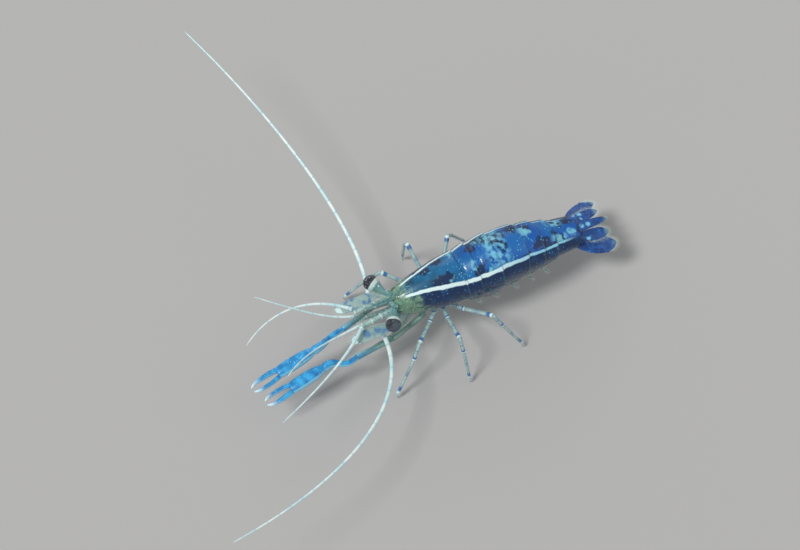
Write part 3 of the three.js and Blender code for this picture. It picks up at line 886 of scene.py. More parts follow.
def add_inner_body(finish):
    """The flesh seen through the shell, with the ridged sternum between the legs."""
    rounding = TAIL_STUMP + STUMP_REACH * np.sin(np.linspace(0, 0.97, 12) * math.pi / 2)
    thorax = np.linspace(FLESH_FRONT, CARAPACE, 56)
    abdomen = np.linspace(CARAPACE, TAIL_STUMP, 90)
    backs = np.concatenate([thorax, abdomen[1:], rounding[1:]])
    turns = np.linspace(-math.pi, math.pi, 61)
    back, angle = np.meshgrid(backs, turns[:-1], indexing="ij")
    turned = np.abs(angle)
    depth = 0.94 - 0.30 * rise(4.8, 5.8, back) * rise(14.6, 13.4, back)
    lift = -0.17 + 0.07 * rise(11.0, 13.0, back) + 0.06 * rise(14.3, 15.1, back)
    sternum = rise(2.3, 2.8, turned) * rise(0.4, 0.9, back) * rise(4.9, 4.4, back)
    lift = lift + 0.05 * sternum * np.cos(2 * math.pi * (back - 1.8) / SEGMENT)
    for ring in RING_BACKS[:-1]:
        lift = lift + 0.13 * bump(ring + 0.12, 0.13, back) * rise(1.8, 2.3, turned)
    lift = lift + 0.03 * np.cos(14 * angle) * rise(0.5, 0.1, back) * rise(2.2, 1.4, turned)
    points = on_body(back, angle, lift, depth)
    past = np.clip((back - TAIL_STUMP) / STUMP_REACH, 0, 1)
    shrink = (1 - 0.55 * rise(0.3, FLESH_FRONT, back) ** 2) * np.sqrt(1 - past**2)
    centre = spine_frame(back)[0]
    points = centre + (points - centre) * shrink[..., None]
    lie = np.stack(np.meshgrid(backs, turns, indexing="ij"), axis=-1)
    shape = Shape()
    index = shape.grid(points, lie, wrap=True)
    shape.fan(index[0], spine_frame(FLESH_FRONT - 0.10)[0], lie[0])
    shape.fan(index[-1], spine_frame(TAIL_STUMP + STUMP_REACH)[0], lie[-1])
    add_piece("inner_body", shape, [finish], "clear_shell")


# The face, as points (forward, left, up).
BROW = (
    (0.20, 0.62, 6.52),
    (0.46, 0.30, 6.60),
    (0.52, 0, 6.63),
    (0.46, -0.30, 6.60),
    (0.20, -0.62, 6.52),
)
FACE_KEEL = ((0.46, 0, 6.55), (0.58, 0, 6.15), (0.50, 0, 5.6), (0.52, 0, 5.2), (0.30, 0, 4.86))
CHEEK_RIDGE = ((0.42, 0.16, 6.3), (0.46, 0.34, 5.8), (0.40, 0.42, 5.4), (0.2, 0.30, 5.0))
JAW = ((0.0, 0.42, 5.0), (0.22, 0.26, 4.86), (0.34, 0.08, 4.76))


def add_face(finishes):
    """The bar between the eye stalks, the keel under it, the ridges beside it and the jaws."""
    shape = Shape()
    thick = 0.15 + 0.07 * bump(0.5, 0.2, np.linspace(0, 1, 30))
    tube(shape, trail(placed(BROW), 30), thick, around=16, marks=np.linspace(0.1, 0.85, 30))
    rows = ((0, 0.10, 0.16), (0.3, 0.13, 0.16), (0.6, 0.17, 0.16), (0.85, 0.26, 0.16), (1, 0.16, 0.16))
    rod(shape, placed(FACE_KEEL), rows, (0.1, 0.85), 30, heading(1, 0, 0), 16)
    for _, s in SIDES:
        rod(shape, placed(CHEEK_RIDGE, s), ((0, 0.10), (1, 0.10)), (0.1, 0.85), 20, around=12)
        rod(shape, placed(JAW, s), ((0, 0.20), (1, 0.12)), (0.1, 0.95), 16)
        for k in range(3):
            root = at(0.30 + 0.05 * k, 0.10 * s, 4.80 - 0.04 * k)
            cone(shape, root, root + heading(0.10, -0.05 * s, -0.05), 0.035, around=6, mark=0.95)
    add_piece("face_and_jaws", shape, finishes, "clear_limb")


CARAPACE_WRAP = 2.36  # angle from the back to the carapace's lower edge


def carapace_relief(back, angle):
    """Height of the carapace over the plain form: keel, two grooves and the swelling of the gills."""
    turned = np.abs(angle)
    keel = 0.10 * bump(0, 0.13, angle) * rise(1.9, 0.6, back)
    cervical = -0.035 * bump(1.55 + 0.55 * turned, 0.12, back)
    cervical = cervical * rise(0.35, 0.7, turned) * rise(2.2, 1.7, turned)
    hepatic = -0.04 * bump(1.42 + 0.10 * back, 0.09, turned)
    hepatic = hepatic * rise(0.3, 0.8, back) * rise(2.9, 2.0, back)
    gills = 0.03 * bump(3.2, 1.2, back) * bump(1.45, 0.4, turned)
    return keel + cervical + hepatic + gills


def add_carapace(finish, blade_finish):
    """The carapace, open below and notched for the eyes, with the rostrum on it."""
    angles = np.linspace(-1, 1, 121) * CARAPACE_WRAP
    turned = np.abs(angles)
    front = 0.06 - 0.34 * bump(0, 0.28, angles) + 0.20 * bump(0.80, 0.26, turned)
    front = front - 0.36 * bump(1.42, 0.085, turned) + 0.34 * rise(1.75, CARAPACE_WRAP, turned) ** 2
    rear = CARAPACE + 0.16 - 0.30 * rise(1.3, CARAPACE_WRAP, turned) - 0.10 * bump(0, 0.5, angles)
    back = front + (rear - front) * np.linspace(0, 1, 72)[:, None]
    angle = np.broadcast_to(angles, back.shape)
    narrow = 1 - 0.06 * rise(1.2, 0.2, back)
    lift = carapace_relief(back, angle) + 0.05 * rise(CARAPACE - 0.2, CARAPACE + 0.1, back)
    lift = lift + 0.035 * rise(0.16, 0.03, back - front)
    lift = lift + 0.03 * rise(CARAPACE_WRAP - 0.08, CARAPACE_WRAP, turned)
    shape = Shape()
    plate(shape, on_body(back, angle * narrow, lift), np.stack([back, angle], axis=-1))
    add_rostrum_into(shape, 1)
    add_piece("carapace_shell", shape, [finish, blade_finish], "clear_shell", "carapace")


TEETH_ABOVE = 8
TEETH_START = -1.3  # the first tooth is behind the eye sockets
TEETH_BELOW = (2.2, 1.4)


def crest(forward):
    """Height of the rostrum's upper edge."""
    return 7.60 - 0.06 * (forward - TEETH_START) - 0.03 * np.maximum(forward, 0)


def add_rostrum_into(shape, finish):
    """A thin keeled blade on the mid-plane with teeth above and below."""
    forward = np.linspace(-1.7, ROSTRUM - 0.04, 44)
    top = crest(forward) - 0.25 * rise(-1.2, -1.75, forward)
    under = flow([-1.7, 0.2, 1.0, 2.2, ROSTRUM], [6.9, 6.78, 6.86, 6.92, 7.16], forward)
    reach = rise(ROSTRUM + 0.05, ROSTRUM - 1.1, forward)
    under = top - (top - under) * np.maximum(reach, 0.07)
    path = at(forward, 0, (top + under) / 2)
    thick = 0.10 * np.maximum(rise(ROSTRUM + 0.3, 1.2, forward), 0.3)
    radii = np.stack([thick, (top - under) / 2], axis=-1)
    tube(shape, path, radii, around=20, marks=forward, finish=finish, blunt=(0.1, 0.6))
    within = slice(6, -2)
    ridge = at(forward, 0, (top + 2 * under) / 3)[within]
    radii = np.stack([thick * 1.45, 0.05 + 0 * thick], axis=-1)[within]
    tube(shape, ridge, radii, marks=forward[within], finish=finish)
    look = {"flat": 0.45, "finish": finish}
    pitch = (ROSTRUM - 0.5 - TEETH_START) / TEETH_ABOVE
    for k in range(TEETH_ABOVE):
        start = TEETH_START + (k + 0.1) * pitch
        radius = 0.13 * (1.0 - 0.35 * k / TEETH_ABOVE)
        root = at(start, 0, crest(start) - 0.05)
        tip = at(start + 0.80 * pitch, 0, crest(start) + 0.20)
        cone(shape, root, tip, radius, lean=heading(-0.06, 0, 0.05), mark=start, **look)
    for start in TEETH_BELOW:
        root, tip = at(start, 0, 6.98), at(start + 0.42, 0, 6.80)
        cone(shape, root, tip, 0.10, lean=heading(-0.03, 0, -0.04), mark=start, **look)


BACK_SHARE = 0.56  # of a somite's side, the part over the flank: the rest is its flat side plate


def somite_points(k, shares, rounds):
    """The outer surface of somite k + 1's plate. Rounds run from the right lower edge over the back
    to the left one, and the last part of each side is the flat side plate."""
    length, _, _, _, _, drop_share = ABDOMEN_RINGS[k + 1]
    start, end = RING_BACKS[k], RING_BACKS[k + 1]
    share, q = np.meshgrid(shares, rounds, indexing="ij")
    turned = np.abs(q)
    p = np.clip((turned - BACK_SHARE) / (1 - BACK_SHARE), 0, 1)
    corner = 1 - np.sqrt(1 - np.clip((p - 0.3) / 0.7, 0, 1) ** 2)
    saddle_plate = k == 1
    front = start + 0.02 - 0.10 * (p == 0) + (0.30 * length) * corner
    if saddle_plate:
        front = front - 0.42 * rise(0.0, 0.35, p)
    rear = end + 0.14 - (0.30 * length) * corner
    if k == 0:
        rear = rear - 0.1 * rise(0, 0.5, p)
    if k in (3, 4):
        rear = rear + 0.12 * bump(0.72, 0.2, p)
    if k == 5:
        front = start + 0.02 + 0.1 * corner * length
        rear = end + 0.05 - 0.04 * corner * length + 0.10 * bump(0.35, 0.2, p)
    back = front + (rear - front) * share
    width, above, below = section(back)
    hang = drop_share * np.sin(math.pi * np.clip((back - start) / length, 0, 1))
    drop = below + hang * BODY_DEPTH * 1.15
    angle = np.clip(turned / BACK_SHARE, 0, 1) * math.pi / 2
    tier = -0.05 + 0.11 * rise(0.10, 1.0, share)
    if saddle_plate:
        tier = np.where(p > 0, np.maximum(tier, -0.05 + 0.13 * rise(0, 0.3, p)), tier)
    groove = -0.03 * bump(0.34, 0.05, share) * rise(1.0, 0.6, turned / BACK_SHARE)
    lip = 0.012 * bump(0.95, 0.05, share) + 0.015 * bump(0.97, 0.06, p)
    lift = tier + groove + lip
    lean = 0.17 + 0.05 * (k == 5)
    left = np.where(p > 0, (width + lift) * (1 - lean * p**2), (width + lift) * np.sin(angle))
    height = np.where(p > 0, -drop * p, (above + lift) * np.cos(angle))
    around = np.where(p > 0, math.pi / 2 + p * drop / width, angle)
    points = from_spine(back, left * np.sign(q + 1e-9), height)
    return points, np.stack([back, around * np.sign(q)], axis=-1)


def add_somites(finish):
    """The six plates of the abdomen. Columns crowd where a plate turns down over the flank."""
    easing = np.sin(np.linspace(-1, 1, 99) * math.pi / 2)
    rounds = np.sign(easing) * np.abs(np.linspace(-1, 1, 99)) ** 0.9
    for k in range(6):
        shares = np.linspace(0, 1, int(14 + 9 * ABDOMEN_RINGS[k + 1][0]))
        shape = Shape()
        plate(shape, *somite_points(k, shares, rounds))
        add_piece(f"somite_shell_{k + 1}", shape, [finish], "clear_shell", f"abdomen_somite_{k + 1}")


# ---------------------------------------------------------------- tail fan
# Fins behind the sixth somite: places across and above the tail's axis at the root, the bend and the
# tip, tilt in degrees, length, and half widths on the outer side and on the one nearer the telson.
FINS = {
    "endopod": {
        "places": ((0.70, 0.12), (1.06, 0.10), (0.98, 0.12)),
        "tilt": 14,
        "length": 2.8,
        "outer": (0.24, 0.36, 0.42, 0.44, 0.41, 0.30),
        "inner": (0.26, 0.44, 0.53, 0.56, 0.50, 0.34),
        "fringe": (0.10, 0.90),
    },
    "exopod": {
        "places": ((1.04, -0.42), (2.12, -0.42), (1.90, -0.32)),
        "tilt": 28,
        "length": 3.1,
        "outer": (0.24, 0.38, 0.50, 0.54, 0.50, 0.36),
        "inner": (0.28, 0.52, 0.70, 0.76, 0.68, 0.42),
        "fringe": (0.36, 0.92),
        "spine": 0.36,
    },
}
TELSON_WIDTHS = (0.42, 0.45, 0.41, 0.36, 0.29, 0.21)
FAN_ROOT, TAILWARD, ABOVE = spine_frame(TAIL_END)


def behind(place, back, side=1):
    """A point behind the body's end, from its place across and above the tail's axis."""
    left, up = place
    return FAN_ROOT + heading(0, left * side, 0) + ABOVE * up + TAILWARD * back


def from_root(share, flipped):
    """A share along a blade's edge, counted from the edge's other end where it is flipped."""
    return 1 - share if flipped else share


def add_telson(finish, bristles):
    """The middle blade of the fan, with spines on it and at its tip."""
    shape = Shape()
    path = bow(behind((0, 0.30), -0.1), behind((0, 0.40), 1.5), behind((0, 0.30), 2.92), 40)
    telson = Blade(path, TELSON_WIDTHS, TELSON_WIDTHS, 0.30, ABOVE, tip=0.10, rib=0.1)
    telson.into(shape)
    for sign in (-1, 1):
        for share, across in ((0.45, 0.28), (0.68, 0.21)):
            root = path[int(share * 39)] + heading(0, across * sign, 0) + ABOVE * 0.09
            cone(shape, root, root + TAILWARD * 0.22 + ABOVE * 0.05, 0.035, up=ABOVE)
        for across, reach in ((0.16, 0.08), (0.10, 0.18), (0.035, 0.14)):
            root = path[-1] + heading(0, across * sign, 0) - TAILWARD * 0.04
            tip = root + TAILWARD * reach + heading(0, 0.03 * sign, 0)
            cone(shape, root, tip, 0.03, up=ABOVE, mark=1.0)
    bristles.along(telson, 0.44, 0.56, 10, 0.35, 0.2)
    add_piece("telson_plate", shape, [finish], "clear_shell", "telson")


def add_fin(name, side, sign, finish, bristles):
    """One leaf of a uropod. The outer one has a spine at the corner of its outer edge."""
    form = FINS[name]
    length = form["length"]
    backs = (-0.05, length * 0.45, length - 0.08)
    path = bow(*(behind(place, back, sign) for place, back in zip(form["places"], backs)), 44)
    turn = math.radians(form["tilt"]) * sign
    normal = ABOVE * math.cos(turn) + heading(0, math.sin(turn), 0)
    plus, minus = (form["inner"], form["outer"])[::sign]
    fin = Blade(path, plus, minus, 0.13, normal, tip=0.3)
    shape = Shape()
    fin.into(shape)
    if "spine" in form:
        corner = from_root(form["spine"], sign > 0)
        roots, outs = fin.edge(corner, corner, 1)
        cone(shape, roots[0], roots[0] + TAILWARD * 0.26 + outs[0] * 0.05, 0.05, up=normal, mark=0.8)
    first, last = sorted(from_root(share, sign > 0) for share in form["fringe"])
    bristles.along(fin, first, last, 70, 0.42, 0.6)
    add_piece(f"uropod_{name}_plate_{side}", shape, [finish], "clear_shell", f"uropod_{name}_{side}")


def add_tail_fan(finish, bristles):
    """The telson, and on each side a uropod's stem and its two leaves."""
    add_telson(finish, bristles)
    for side, sign in SIDES:
        stem = Shape()
        places = ((0.55, -0.30), -0.35), ((0.80, -0.24), 0), ((1.02, -0.17), 0.36)
        line = [behind(place, back, sign) for place, back in places]
        rows = ((0, 0.20, 0.18), (0.6, 0.32, 0.24), (1, 0.26, 0.15))
        path = rod(stem, line, rows, (0, 0.3), 12, ABOVE, 16)
        spur = path[-2] + heading(0, 0.20 * sign, 0)
        cone(stem, spur, spur + heading(0, 0.06 * sign, 0) + TAILWARD * 0.24, 0.06, up=ABOVE)
        add_piece(f"uropod_stem_{side}", stem, [finish], "clear_shell")
        for name in FINS:
            add_fin(name, side, sign, finish, bristles)


# ---------------------------------------------------------------- limbs
def podomere(shape, start, end, radii, number, up, squash=1.0, curve=0):
    """One segment of a limb: narrow at its base, swelling, and flared where the next one fits in.
    Its lie counts segments, so that the fraction says how far along this one a mark is."""
    share = np.linspace(0, 1, 18)
    path = bow(start, (start + end) / 2 + curve, end, 18)
    profile = 0.80 + 0.20 * rise(0, 0.18, share) - 0.06 * bump(0.5, 0.28, share)
    profile = profile + 0.08 * bump(0.95, 0.07, share)
    radius = (radii[0] + (radii[1] - radii[0]) * share) * profile
    sizes = np.stack([radius, radius * squash], axis=-1)
    tube(shape, path, sizes, up, 14, number + 0.01 + 0.98 * share, blunt=(0.5, 0.35))


def limb(shape, joints, radii, up, curves=None):
    """Segments through the joints, round a core in the second finish that shows between them.
    Curves say which segments bend, and how."""
    joints = np.asarray(joints, float)
    for k in range(len(joints) - 1):
        curve = (curves or {}).get(k, 0)
        ends = (radii[k], radii[k + 1] * 0.96)
        podomere(shape, joints[k], joints[k + 1], ends, k, up, curve=curve)
    steps = np.linspace(0, 1, 6, endpoint=False)[:, None]
    core = np.concatenate([start + steps * (end - start) for start, end in zip(joints, joints[1:])])
    widths = np.interp(np.linspace(0, 1, len(core)), np.linspace(0, 1, len(radii)), radii) * 0.58
    tube(shape, core, widths, up, 8, finish=1)


COXA_RADIUS = 0.28
COXA_SINK = 0.12  # how far a coxa reaches up into the thorax
ROOT_DEPTH = 0.5  # how far a limb reaches up past its coxa's top
ROOT_SIDE = 0.66  # how far out it starts there, as a share of the coxa's own place
SOCKET_FORM = ((0, 1.22), (0.4, 1.20), (0.8, 1.12), (1, 0.98))


def underside(forward, left):
    """Height of the thorax's underside, where the legs start."""
    width, _, below = section(-forward)
    across = abs(left) / width
    return AXIS_UP - below * (1 - across ** (2 / SQUARENESS)) ** (SQUARENESS / 2)


def coxa_top(forward, left):
    """Where a limb's coxa meets the thorax."""
    return at(forward, left, underside(forward, abs(left) - COXA_RADIUS) + COXA_SINK)


def rooted(forward, left):
    """The start of a limb: above its coxa's top and nearer the middle, inside the body."""
    return coxa_top(forward, left) + heading(0, (ROOT_SIDE - 1) * left, ROOT_DEPTH)


def add_socket(shape, root, hip, radius, up):
    """The swelling of the body wall round a limb's base."""
    rows = [(share, radius * swell) for share, swell in SOCKET_FORM]
    rod(shape, [root, root + (hip - root) * 0.6], rows, (0.30, 0.42), 14, up, 20, (0.4, 0.35))


# Joints and points of the mouth legs and of the first legs, as (forward, left, up).
MOUTH_LEG = (
    (-0.28, 0.44, 4.72),
    (0.5, 0.55, 4.28),
    (1.6, 0.62, 4.32),
    (2.3, 0.58, 4.50),
    (3.05, 0.44, 4.34),
)
PALP = ((-0.1, 0.26, 4.86), (0.42, 0.34, 4.62), (0.76, 0.24, 4.78), (0.52, 0.14, 4.98))
OUTER_BRANCH = ((-0.2, 0.56, 4.66), (0.5, 0.84, 4.44), (1.25, 0.96, 4.50))
PICKING_LEG = (
    (-0.95, 0.46, 4.25),
    (-0.3, 0.72, 3.45),
    (0.9, 1.0, 2.97),
    (2.65, 1.3, 2.95),
    (3.65, 1.2, 2.70),
)


def add_mouth_leg(side, s, finishes, bristles):
    """A third maxilliped, its outer branch and the palp beside the jaws."""
    shape = Shape()
    joints = [rooted(-0.35, 0.4 * s), *placed(MOUTH_LEG, s)]
    radii = (0.22, 0.22, 0.19, 0.17, 0.13, 0.05)
    limb(shape, joints, radii, heading(0, s, 0), {4: heading(0, 0, 0.06)})
    bristles.brush(joints[2], joints[5], 40, 0.22, heading(0, -s, -0.4))
    limb(shape, placed(PALP, s), (0.17, 0.15, 0.13, 0.10), heading(0, s, 0))
    branch = rod(shape, placed(OUTER_BRANCH, s), ((0, 0.075), (1, 0.03)), (0.1, 0.85), around=10)
    bristles.brush(branch[-6], branch[-1], 14, 0.25, heading(0.8, 0.3 * s, 0.3))
    add_piece(f"mouth_leg_{side}", shape, finishes, "clear_limb", f"maxilliped_{side}")


def add_picking_leg(side, s, finishes, bristles):
    """A first leg, thin, with a small pincer."""
    shape = Shape()
    joints = [rooted(-1.08, 0.42 * s), *placed(PICKING_LEG, s)]
    limb(shape, joints, (0.22, 0.20, 0.16, 0.15, 0.12, 0.15), heading(0, s, 0))
    add_socket(shape, joints[0], joints[1], 0.22, heading(0, s, 0))
    for aside in (-1, 1):
        root = at(3.55, (1.21 + 0.05 * aside) * s, 2.72)
        tip = at(4.72, (0.97 + 0.03 * aside) * s, 2.45)
        cone(shape, root, tip, 0.075, lean=heading(0, 0.06 * aside, 0.03), mark=0.9)
    bristles.brush(joints[5], at(4.6, 0.96 * s, 2.48), 24, 0.16, heading(0.3, 0, -1))
    add_piece(f"picking_leg_{side}", shape, finishes, "clear_limb", f"pereiopod_1_{side}")


# Joints of the two long claw-bearing legs, as (forward, left, up).
CHELIPEDS = {
    "left": {"ischium": (1.1, 1.65, 3.7), "merus": (4.2, 1.95, 3.9), "wrist": (7.0, 1.8, 4.25)},
    "right": {"ischium": (1.1, -1.5, 3.7), "merus": (4.2, -0.7, 3.9), "wrist": (7.1, 0.15, 4.25)},
}
CLAW_TIPS = {"left": (12.1, 2.45, 3.75), "right": (12.6, 0.9, 3.85)}
CARPUS_ROWS = ((0, 0.17), (0.1, 0.22), (0.35, 0.23), (0.75, 0.31), (0.95, 0.36), (1, 0.33))
PALM_SHARE = 0.58  # of the claw's length
# Along the palm, as shares of the claw, with half widths and half heights.
PALM_ROWS = (
    (-0.01, 0.25, 0.21),
    (0.03, 0.35, 0.30),
    (0.10, 0.45, 0.36),
    (0.22, 0.53, 0.41),
    (0.38, 0.55, 0.42),
    (0.50, 0.53, 0.40),
    (PALM_SHARE, 0.47, 0.34),
)
# The two fingers: places along the claw and to its side, half widths, teeth on the inner edge (first
# and last place, count and distance to the side) and the ends of the tuft near the tip.
FIXED_FINGER = {
    "line": ((0.50, 0.22), (0.62, 0.30), (0.80, 0.34), (0.94, 0.26), (0.995, 0.10)),
    "rows": oval(((0, 0.20), (0.3, 0.22), (0.7, 0.16), (0.93, 0.10), (1, 0.03)), 1.15),
    "teeth": (0.64, 0.92, 9, 0.17),
    "tuft": ((0.86, 0.3), (0.98, 0.14)),
    "blunt": (0.4, 1.0),
}
MOVING_FINGER = {
    "line": ((0.55, -0.27), (0.63, -0.36), (0.80, -0.44), (0.93, -0.40), (0.99, -0.27)),
    "rows": oval(((0, 0.14), (0.12, 0.19), (0.3, 0.18), (0.7, 0.14), (0.93, 0.09), (1, 0.03)), 1.2),
    "teeth": (0.66, 0.90, 8, -0.28),
    "tuft": ((0.86, -0.42), (0.98, -0.3)),
    "blunt": (0.5, 1.0),
}


class Claw:
    """The directions of one claw: along it from the wrist, and out to the animal's side."""

    def __init__(self, side, s):
        self.wrist = at(*CHELIPEDS[side]["wrist"])
        span = at(*CLAW_TIPS[side]) - self.wrist
        self.reach = np.linalg.norm(span)
        self.along = span / self.reach
        out = unit(np.cross(UPRIGHT, self.along))
        self.out = out * s * np.sign(out[0])

    def place(self, share, aside=0.0):
        return self.wrist + self.along * self.reach * share + self.out * aside

    def add_finger(self, shape, finger, bristles):
        """A finger with low teeth along its cutting edge and a tuft near its tip."""
        line = [self.place(*place) for place in finger["line"]]
        rod(shape, line, finger["rows"], (8, 10), 30, around=18, blunt=finger["blunt"])
        first, last, count, aside = finger["teeth"]
        inwards = -self.out * np.sign(aside)
        for k, share in enumerate(np.linspace(first, last, count)):
            root = self.place(share, aside)
            size = 0.045 + 0.012 * (k % 2)
            cone(shape, root - inwards * 0.02, root + inwards * size * 1.4, size, around=6, mark=9.0)
        start, end = (self.place(*place) for place in finger["tuft"])
        bristles.brush(start, end, 12, 0.22, self.along + self.out * 0.4 * np.sign(aside))


def add_cheliped(side, s, finish, core, bristles):
    """A long second leg: arm, palm and moving finger. Its lie counts segments up to the wrist and
    goes on along the claw."""
    claw = Claw(side, s)
    wrist, along = claw.wrist, claw.along
    knee = at(*CHELIPEDS[side]["merus"])
    arm = Shape()
    hip = coxa_top(-1.9, 0.95 * s) + heading(0.15, 0.03 * s, -0.62)
    joints = [rooted(-1.9, 0.95 * s), hip, at(*CHELIPEDS[side]["ischium"]), knee]
    limb(arm, joints, (0.27, 0.25, 0.22, 0.23), heading(1, 0, 0), {1: heading(0, 0, -0.1)})
    add_socket(arm, joints[0], hip, 0.27, heading(1, 0, 0))
    carpus = [knee - along * 0.08, knee + along * 0.9, wrist - along * 0.5, wrist - along * 0.02]
    rod(arm, carpus, CARPUS_ROWS, (3.02, 3.98), 22, around=20, blunt=(0.5, 0.3))
    for aside in (-0.2, 0.2):
        root = wrist - along * 0.1 + claw.out * aside * 1.2
        cone(arm, root, root + along * 0.2 + claw.out * aside * 0.3, 0.06, mark=3.9)
    add_piece(f"claw_arm_{side}", arm, [finish, core], "blue_claw", f"cheliped_arm_{side}")

    palm = Shape()
    shares = np.array(PALM_ROWS)[:, 0]
    keys = (shares - shares[0]) / (PALM_SHARE - shares[0])
    rows = np.column_stack([keys, np.array(PALM_ROWS)[:, 1:]])
    line = [claw.place(share) for share in shares]
    rod(palm, line, rows, (5, 8), 34, around=28, blunt=(0.4, 0.12))
    claw.add_finger(palm, FIXED_FINGER, bristles)
    add_piece(f"claw_palm_{side}", palm, [finish], "blue_claw", f"cheliped_claw_{side}")

    finger = Shape()
    claw.add_finger(finger, MOVING_FINGER, bristles)
    add_piece(f"claw_finger_{side}", finger, [finish], "blue_claw", f"cheliped_finger_{side}")


# Number, root's place behind the eye sockets, knee (forward, left, up) and foot (forward, left).
WALKING_LEGS = (
    (3, -2.7, (-0.3, 3.4, 4.85), (2.2, 4.7)),
    (4, -3.45, (-3.1, 4.6, 5.35), (-3.4, 5.9)),
    (5, -4.2, (-6.3, 3.9, 5.2), (-8.4, 5.0)),
)
LEG_RADII = (0.26, 0.22, 0.19, 0.185, 0.155, 0.125)
TOE_ROWS = ((0, 0.085), (0.15, 0.10), (0.6, 0.07), (0.9, 0.035), (1, 0.012))
DACTYLUS = 0.75  # height of a walking leg's last joint


def add_walking_leg(number, back, knee, foot, side, s, finishes, bristles):
    """A banded leg with spines under its long segment and one claw, whose tip is on the floor."""
    hip = coxa_top(back, 1.0 * s) + heading(0, 0.08 * s, -0.52)
    bend = at(knee[0], knee[1] * s, knee[2])
    ankle = at(foot[0], foot[1] * s, DACTYLUS)
    ischium = hip + (bend - hip) * 0.32 + heading(0, 0, -0.2)
    carpus = bend + (ankle - bend) * 0.30 + heading(0, 0.15 * s, 0)
    out = unit(heading(foot[0] - knee[0], (foot[1] - knee[1]) * s, 0))
    joints = [rooted(back, 1.0 * s), hip, ischium, bend, carpus, ankle]
    ahead = heading(1, 0, 0)
    shape = Shape()
    limb(shape, joints, LEG_RADII, ahead, {2: heading(0, 0, 0.12), 4: heading(0, 0.05 * s, 0)})
    add_socket(shape, joints[0], hip, 0.26, ahead)
    toe = at(foot[0], foot[1] * s, TOE_ROWS[-1][1])
    path = bow(ankle, (ankle + toe) / 2 + out * 0.16, toe, 14)
    keys, widths = zip(*TOE_ROWS)
    taper = flow(keys, widths, np.linspace(0, 1, 14))
    tube(shape, path, taper, ahead, 12, np.linspace(5.02, 5.7, 14), blunt=(0.6, 0.9))
    for share in (0.35, 0.6, 0.82):
        spot = carpus + (ankle - carpus) * share
        tip = spot - out * 0.20 + heading(0, 0, -0.12)
        cone(shape, spot - out * 0.09, tip, 0.03, around=6, mark=4.3)
    bristles.brush(ankle + heading(0, 0, 0.25), ankle, 10, 0.16, out * 0.5 + heading(0, 0, -1))
    shin = bend + (carpus - bend) * 0.8
    bristles.brush(shin, carpus, 6, 0.14, out * 0.6 + heading(0, 0, -0.6))
    node = f"walking_leg_{number}_{side}"
    add_piece(f"walking_limb_{number}_{side}", shape, finishes, "banded_leg", node)


PADDLE_WIDTHS = np.array((0.10, 0.19, 0.25, 0.24, 0.18, 0.11))
PADDLE_ROOT = 0.28  # a paddle's start, as a share of the reach below the axis


def add_paddles(k, finishes, bristles):
    """The pair of swimming paddles under a somite: a stout base, and two leaves with fringes."""
    length, _, _, _, _, lobe = ABDOMEN_RINGS[k + 1]
    middle = RING_BACKS[k] + length / 2
    width, _, below = section(middle)
    centre, tail, upward = spine_frame(middle)
    lean = math.radians(26) + math.atan2(upward[1], upward[2]) / 2
    direction = -upward * math.cos(lean) + tail * math.sin(lean)
    reach = (below + lobe * BODY_DEPTH) * 0.8 + SEAM
    size = 1.5 if k == 0 else 1.8
    for side, s in SIDES:
        shape = Shape()
        inside = centre + heading(0, width * 0.5 * s, 0) - upward * below * PADDLE_ROOT
        root = centre + heading(0, width * 0.6 * s, 0) - upward * reach
        base_end = root - upward * 0.42 + direction * 0.12
        podomere(shape, inside, base_end, (0.24, 0.20), 0, tail, squash=0.75)
        add_socket(shape, inside, base_end, 0.25, tail)
        for out, grow in ((0.17 * s, 1.0), (-0.15 * s, 0.86)):
            start = base_end + heading(0, out * 0.6, 0)
            bend = start - upward * 0.21 * size + heading(0, out * 0.8, 0)
            path = bow(start, bend, root + direction * size * grow + heading(0, out * 1.3, 0), 26)
            widths = PADDLE_WIDTHS * (0.8 + 0.2 * grow)
            leaf = Blade(path, widths, widths, 0.09, tail, tip=0.3)
            leaf.into(shape, (1.1, 1.8), around=16)
            bristles.along(leaf, 0.16, 0.84, 34, 0.30, 0.7)
        add_piece(f"paddle_{k + 1}_{side}", shape, finishes, "clear_limb", f"pleopod_{k + 1}_{side}")


# ---------------------------------------------------------------- head
STALK_ROWS = ((0, 0.22), (0.2, 0.22), (0.45, 0.25), (0.62, 0.33), (0.8, 0.47), (0.93, 0.57), (1, 0.585))
LENSES = 2400  # over a whole eye


def even_directions(count, axis, least):
    """Even directions over the part of a sphere that faces along the axis."""
    k = np.arange(count) + 0.5
    height = 1 - 2 * k / count
    turn = math.pi * (1 + math.sqrt(5)) * k
    flat = np.sqrt(1 - height**2)
    directions = np.stack([flat * np.cos(turn), flat * np.sin(turn), height], axis=-1)
    return directions[directions @ axis > least]


def eye_ball(name, centre, out):
    """A smooth ball, cut flat and closed where the stalk holds it."""
    ball = bmesh.new()
    bmesh.ops.create_icosphere(ball, subdivisions=5, radius=EYE_RADIUS * 0.985)
    hidden = [v for v in ball.verts if np.dot(v.co, out) < -0.32]
    bmesh.ops.delete(ball, geom=hidden, context="VERTS")
    bmesh.ops.edgeloop_fill(ball, edges=[e for e in ball.edges if e.is_boundary])
    bmesh.ops.translate(ball, verts=ball.verts, vec=centre)
    bmesh.ops.scale(ball, verts=ball.verts, vec=(MM, MM, MM))
    for face in ball.faces:
        face.smooth = True
    mesh = bpy.data.meshes.new(name)
    ball.to_mesh(mesh)
    ball.free()
    return mesh


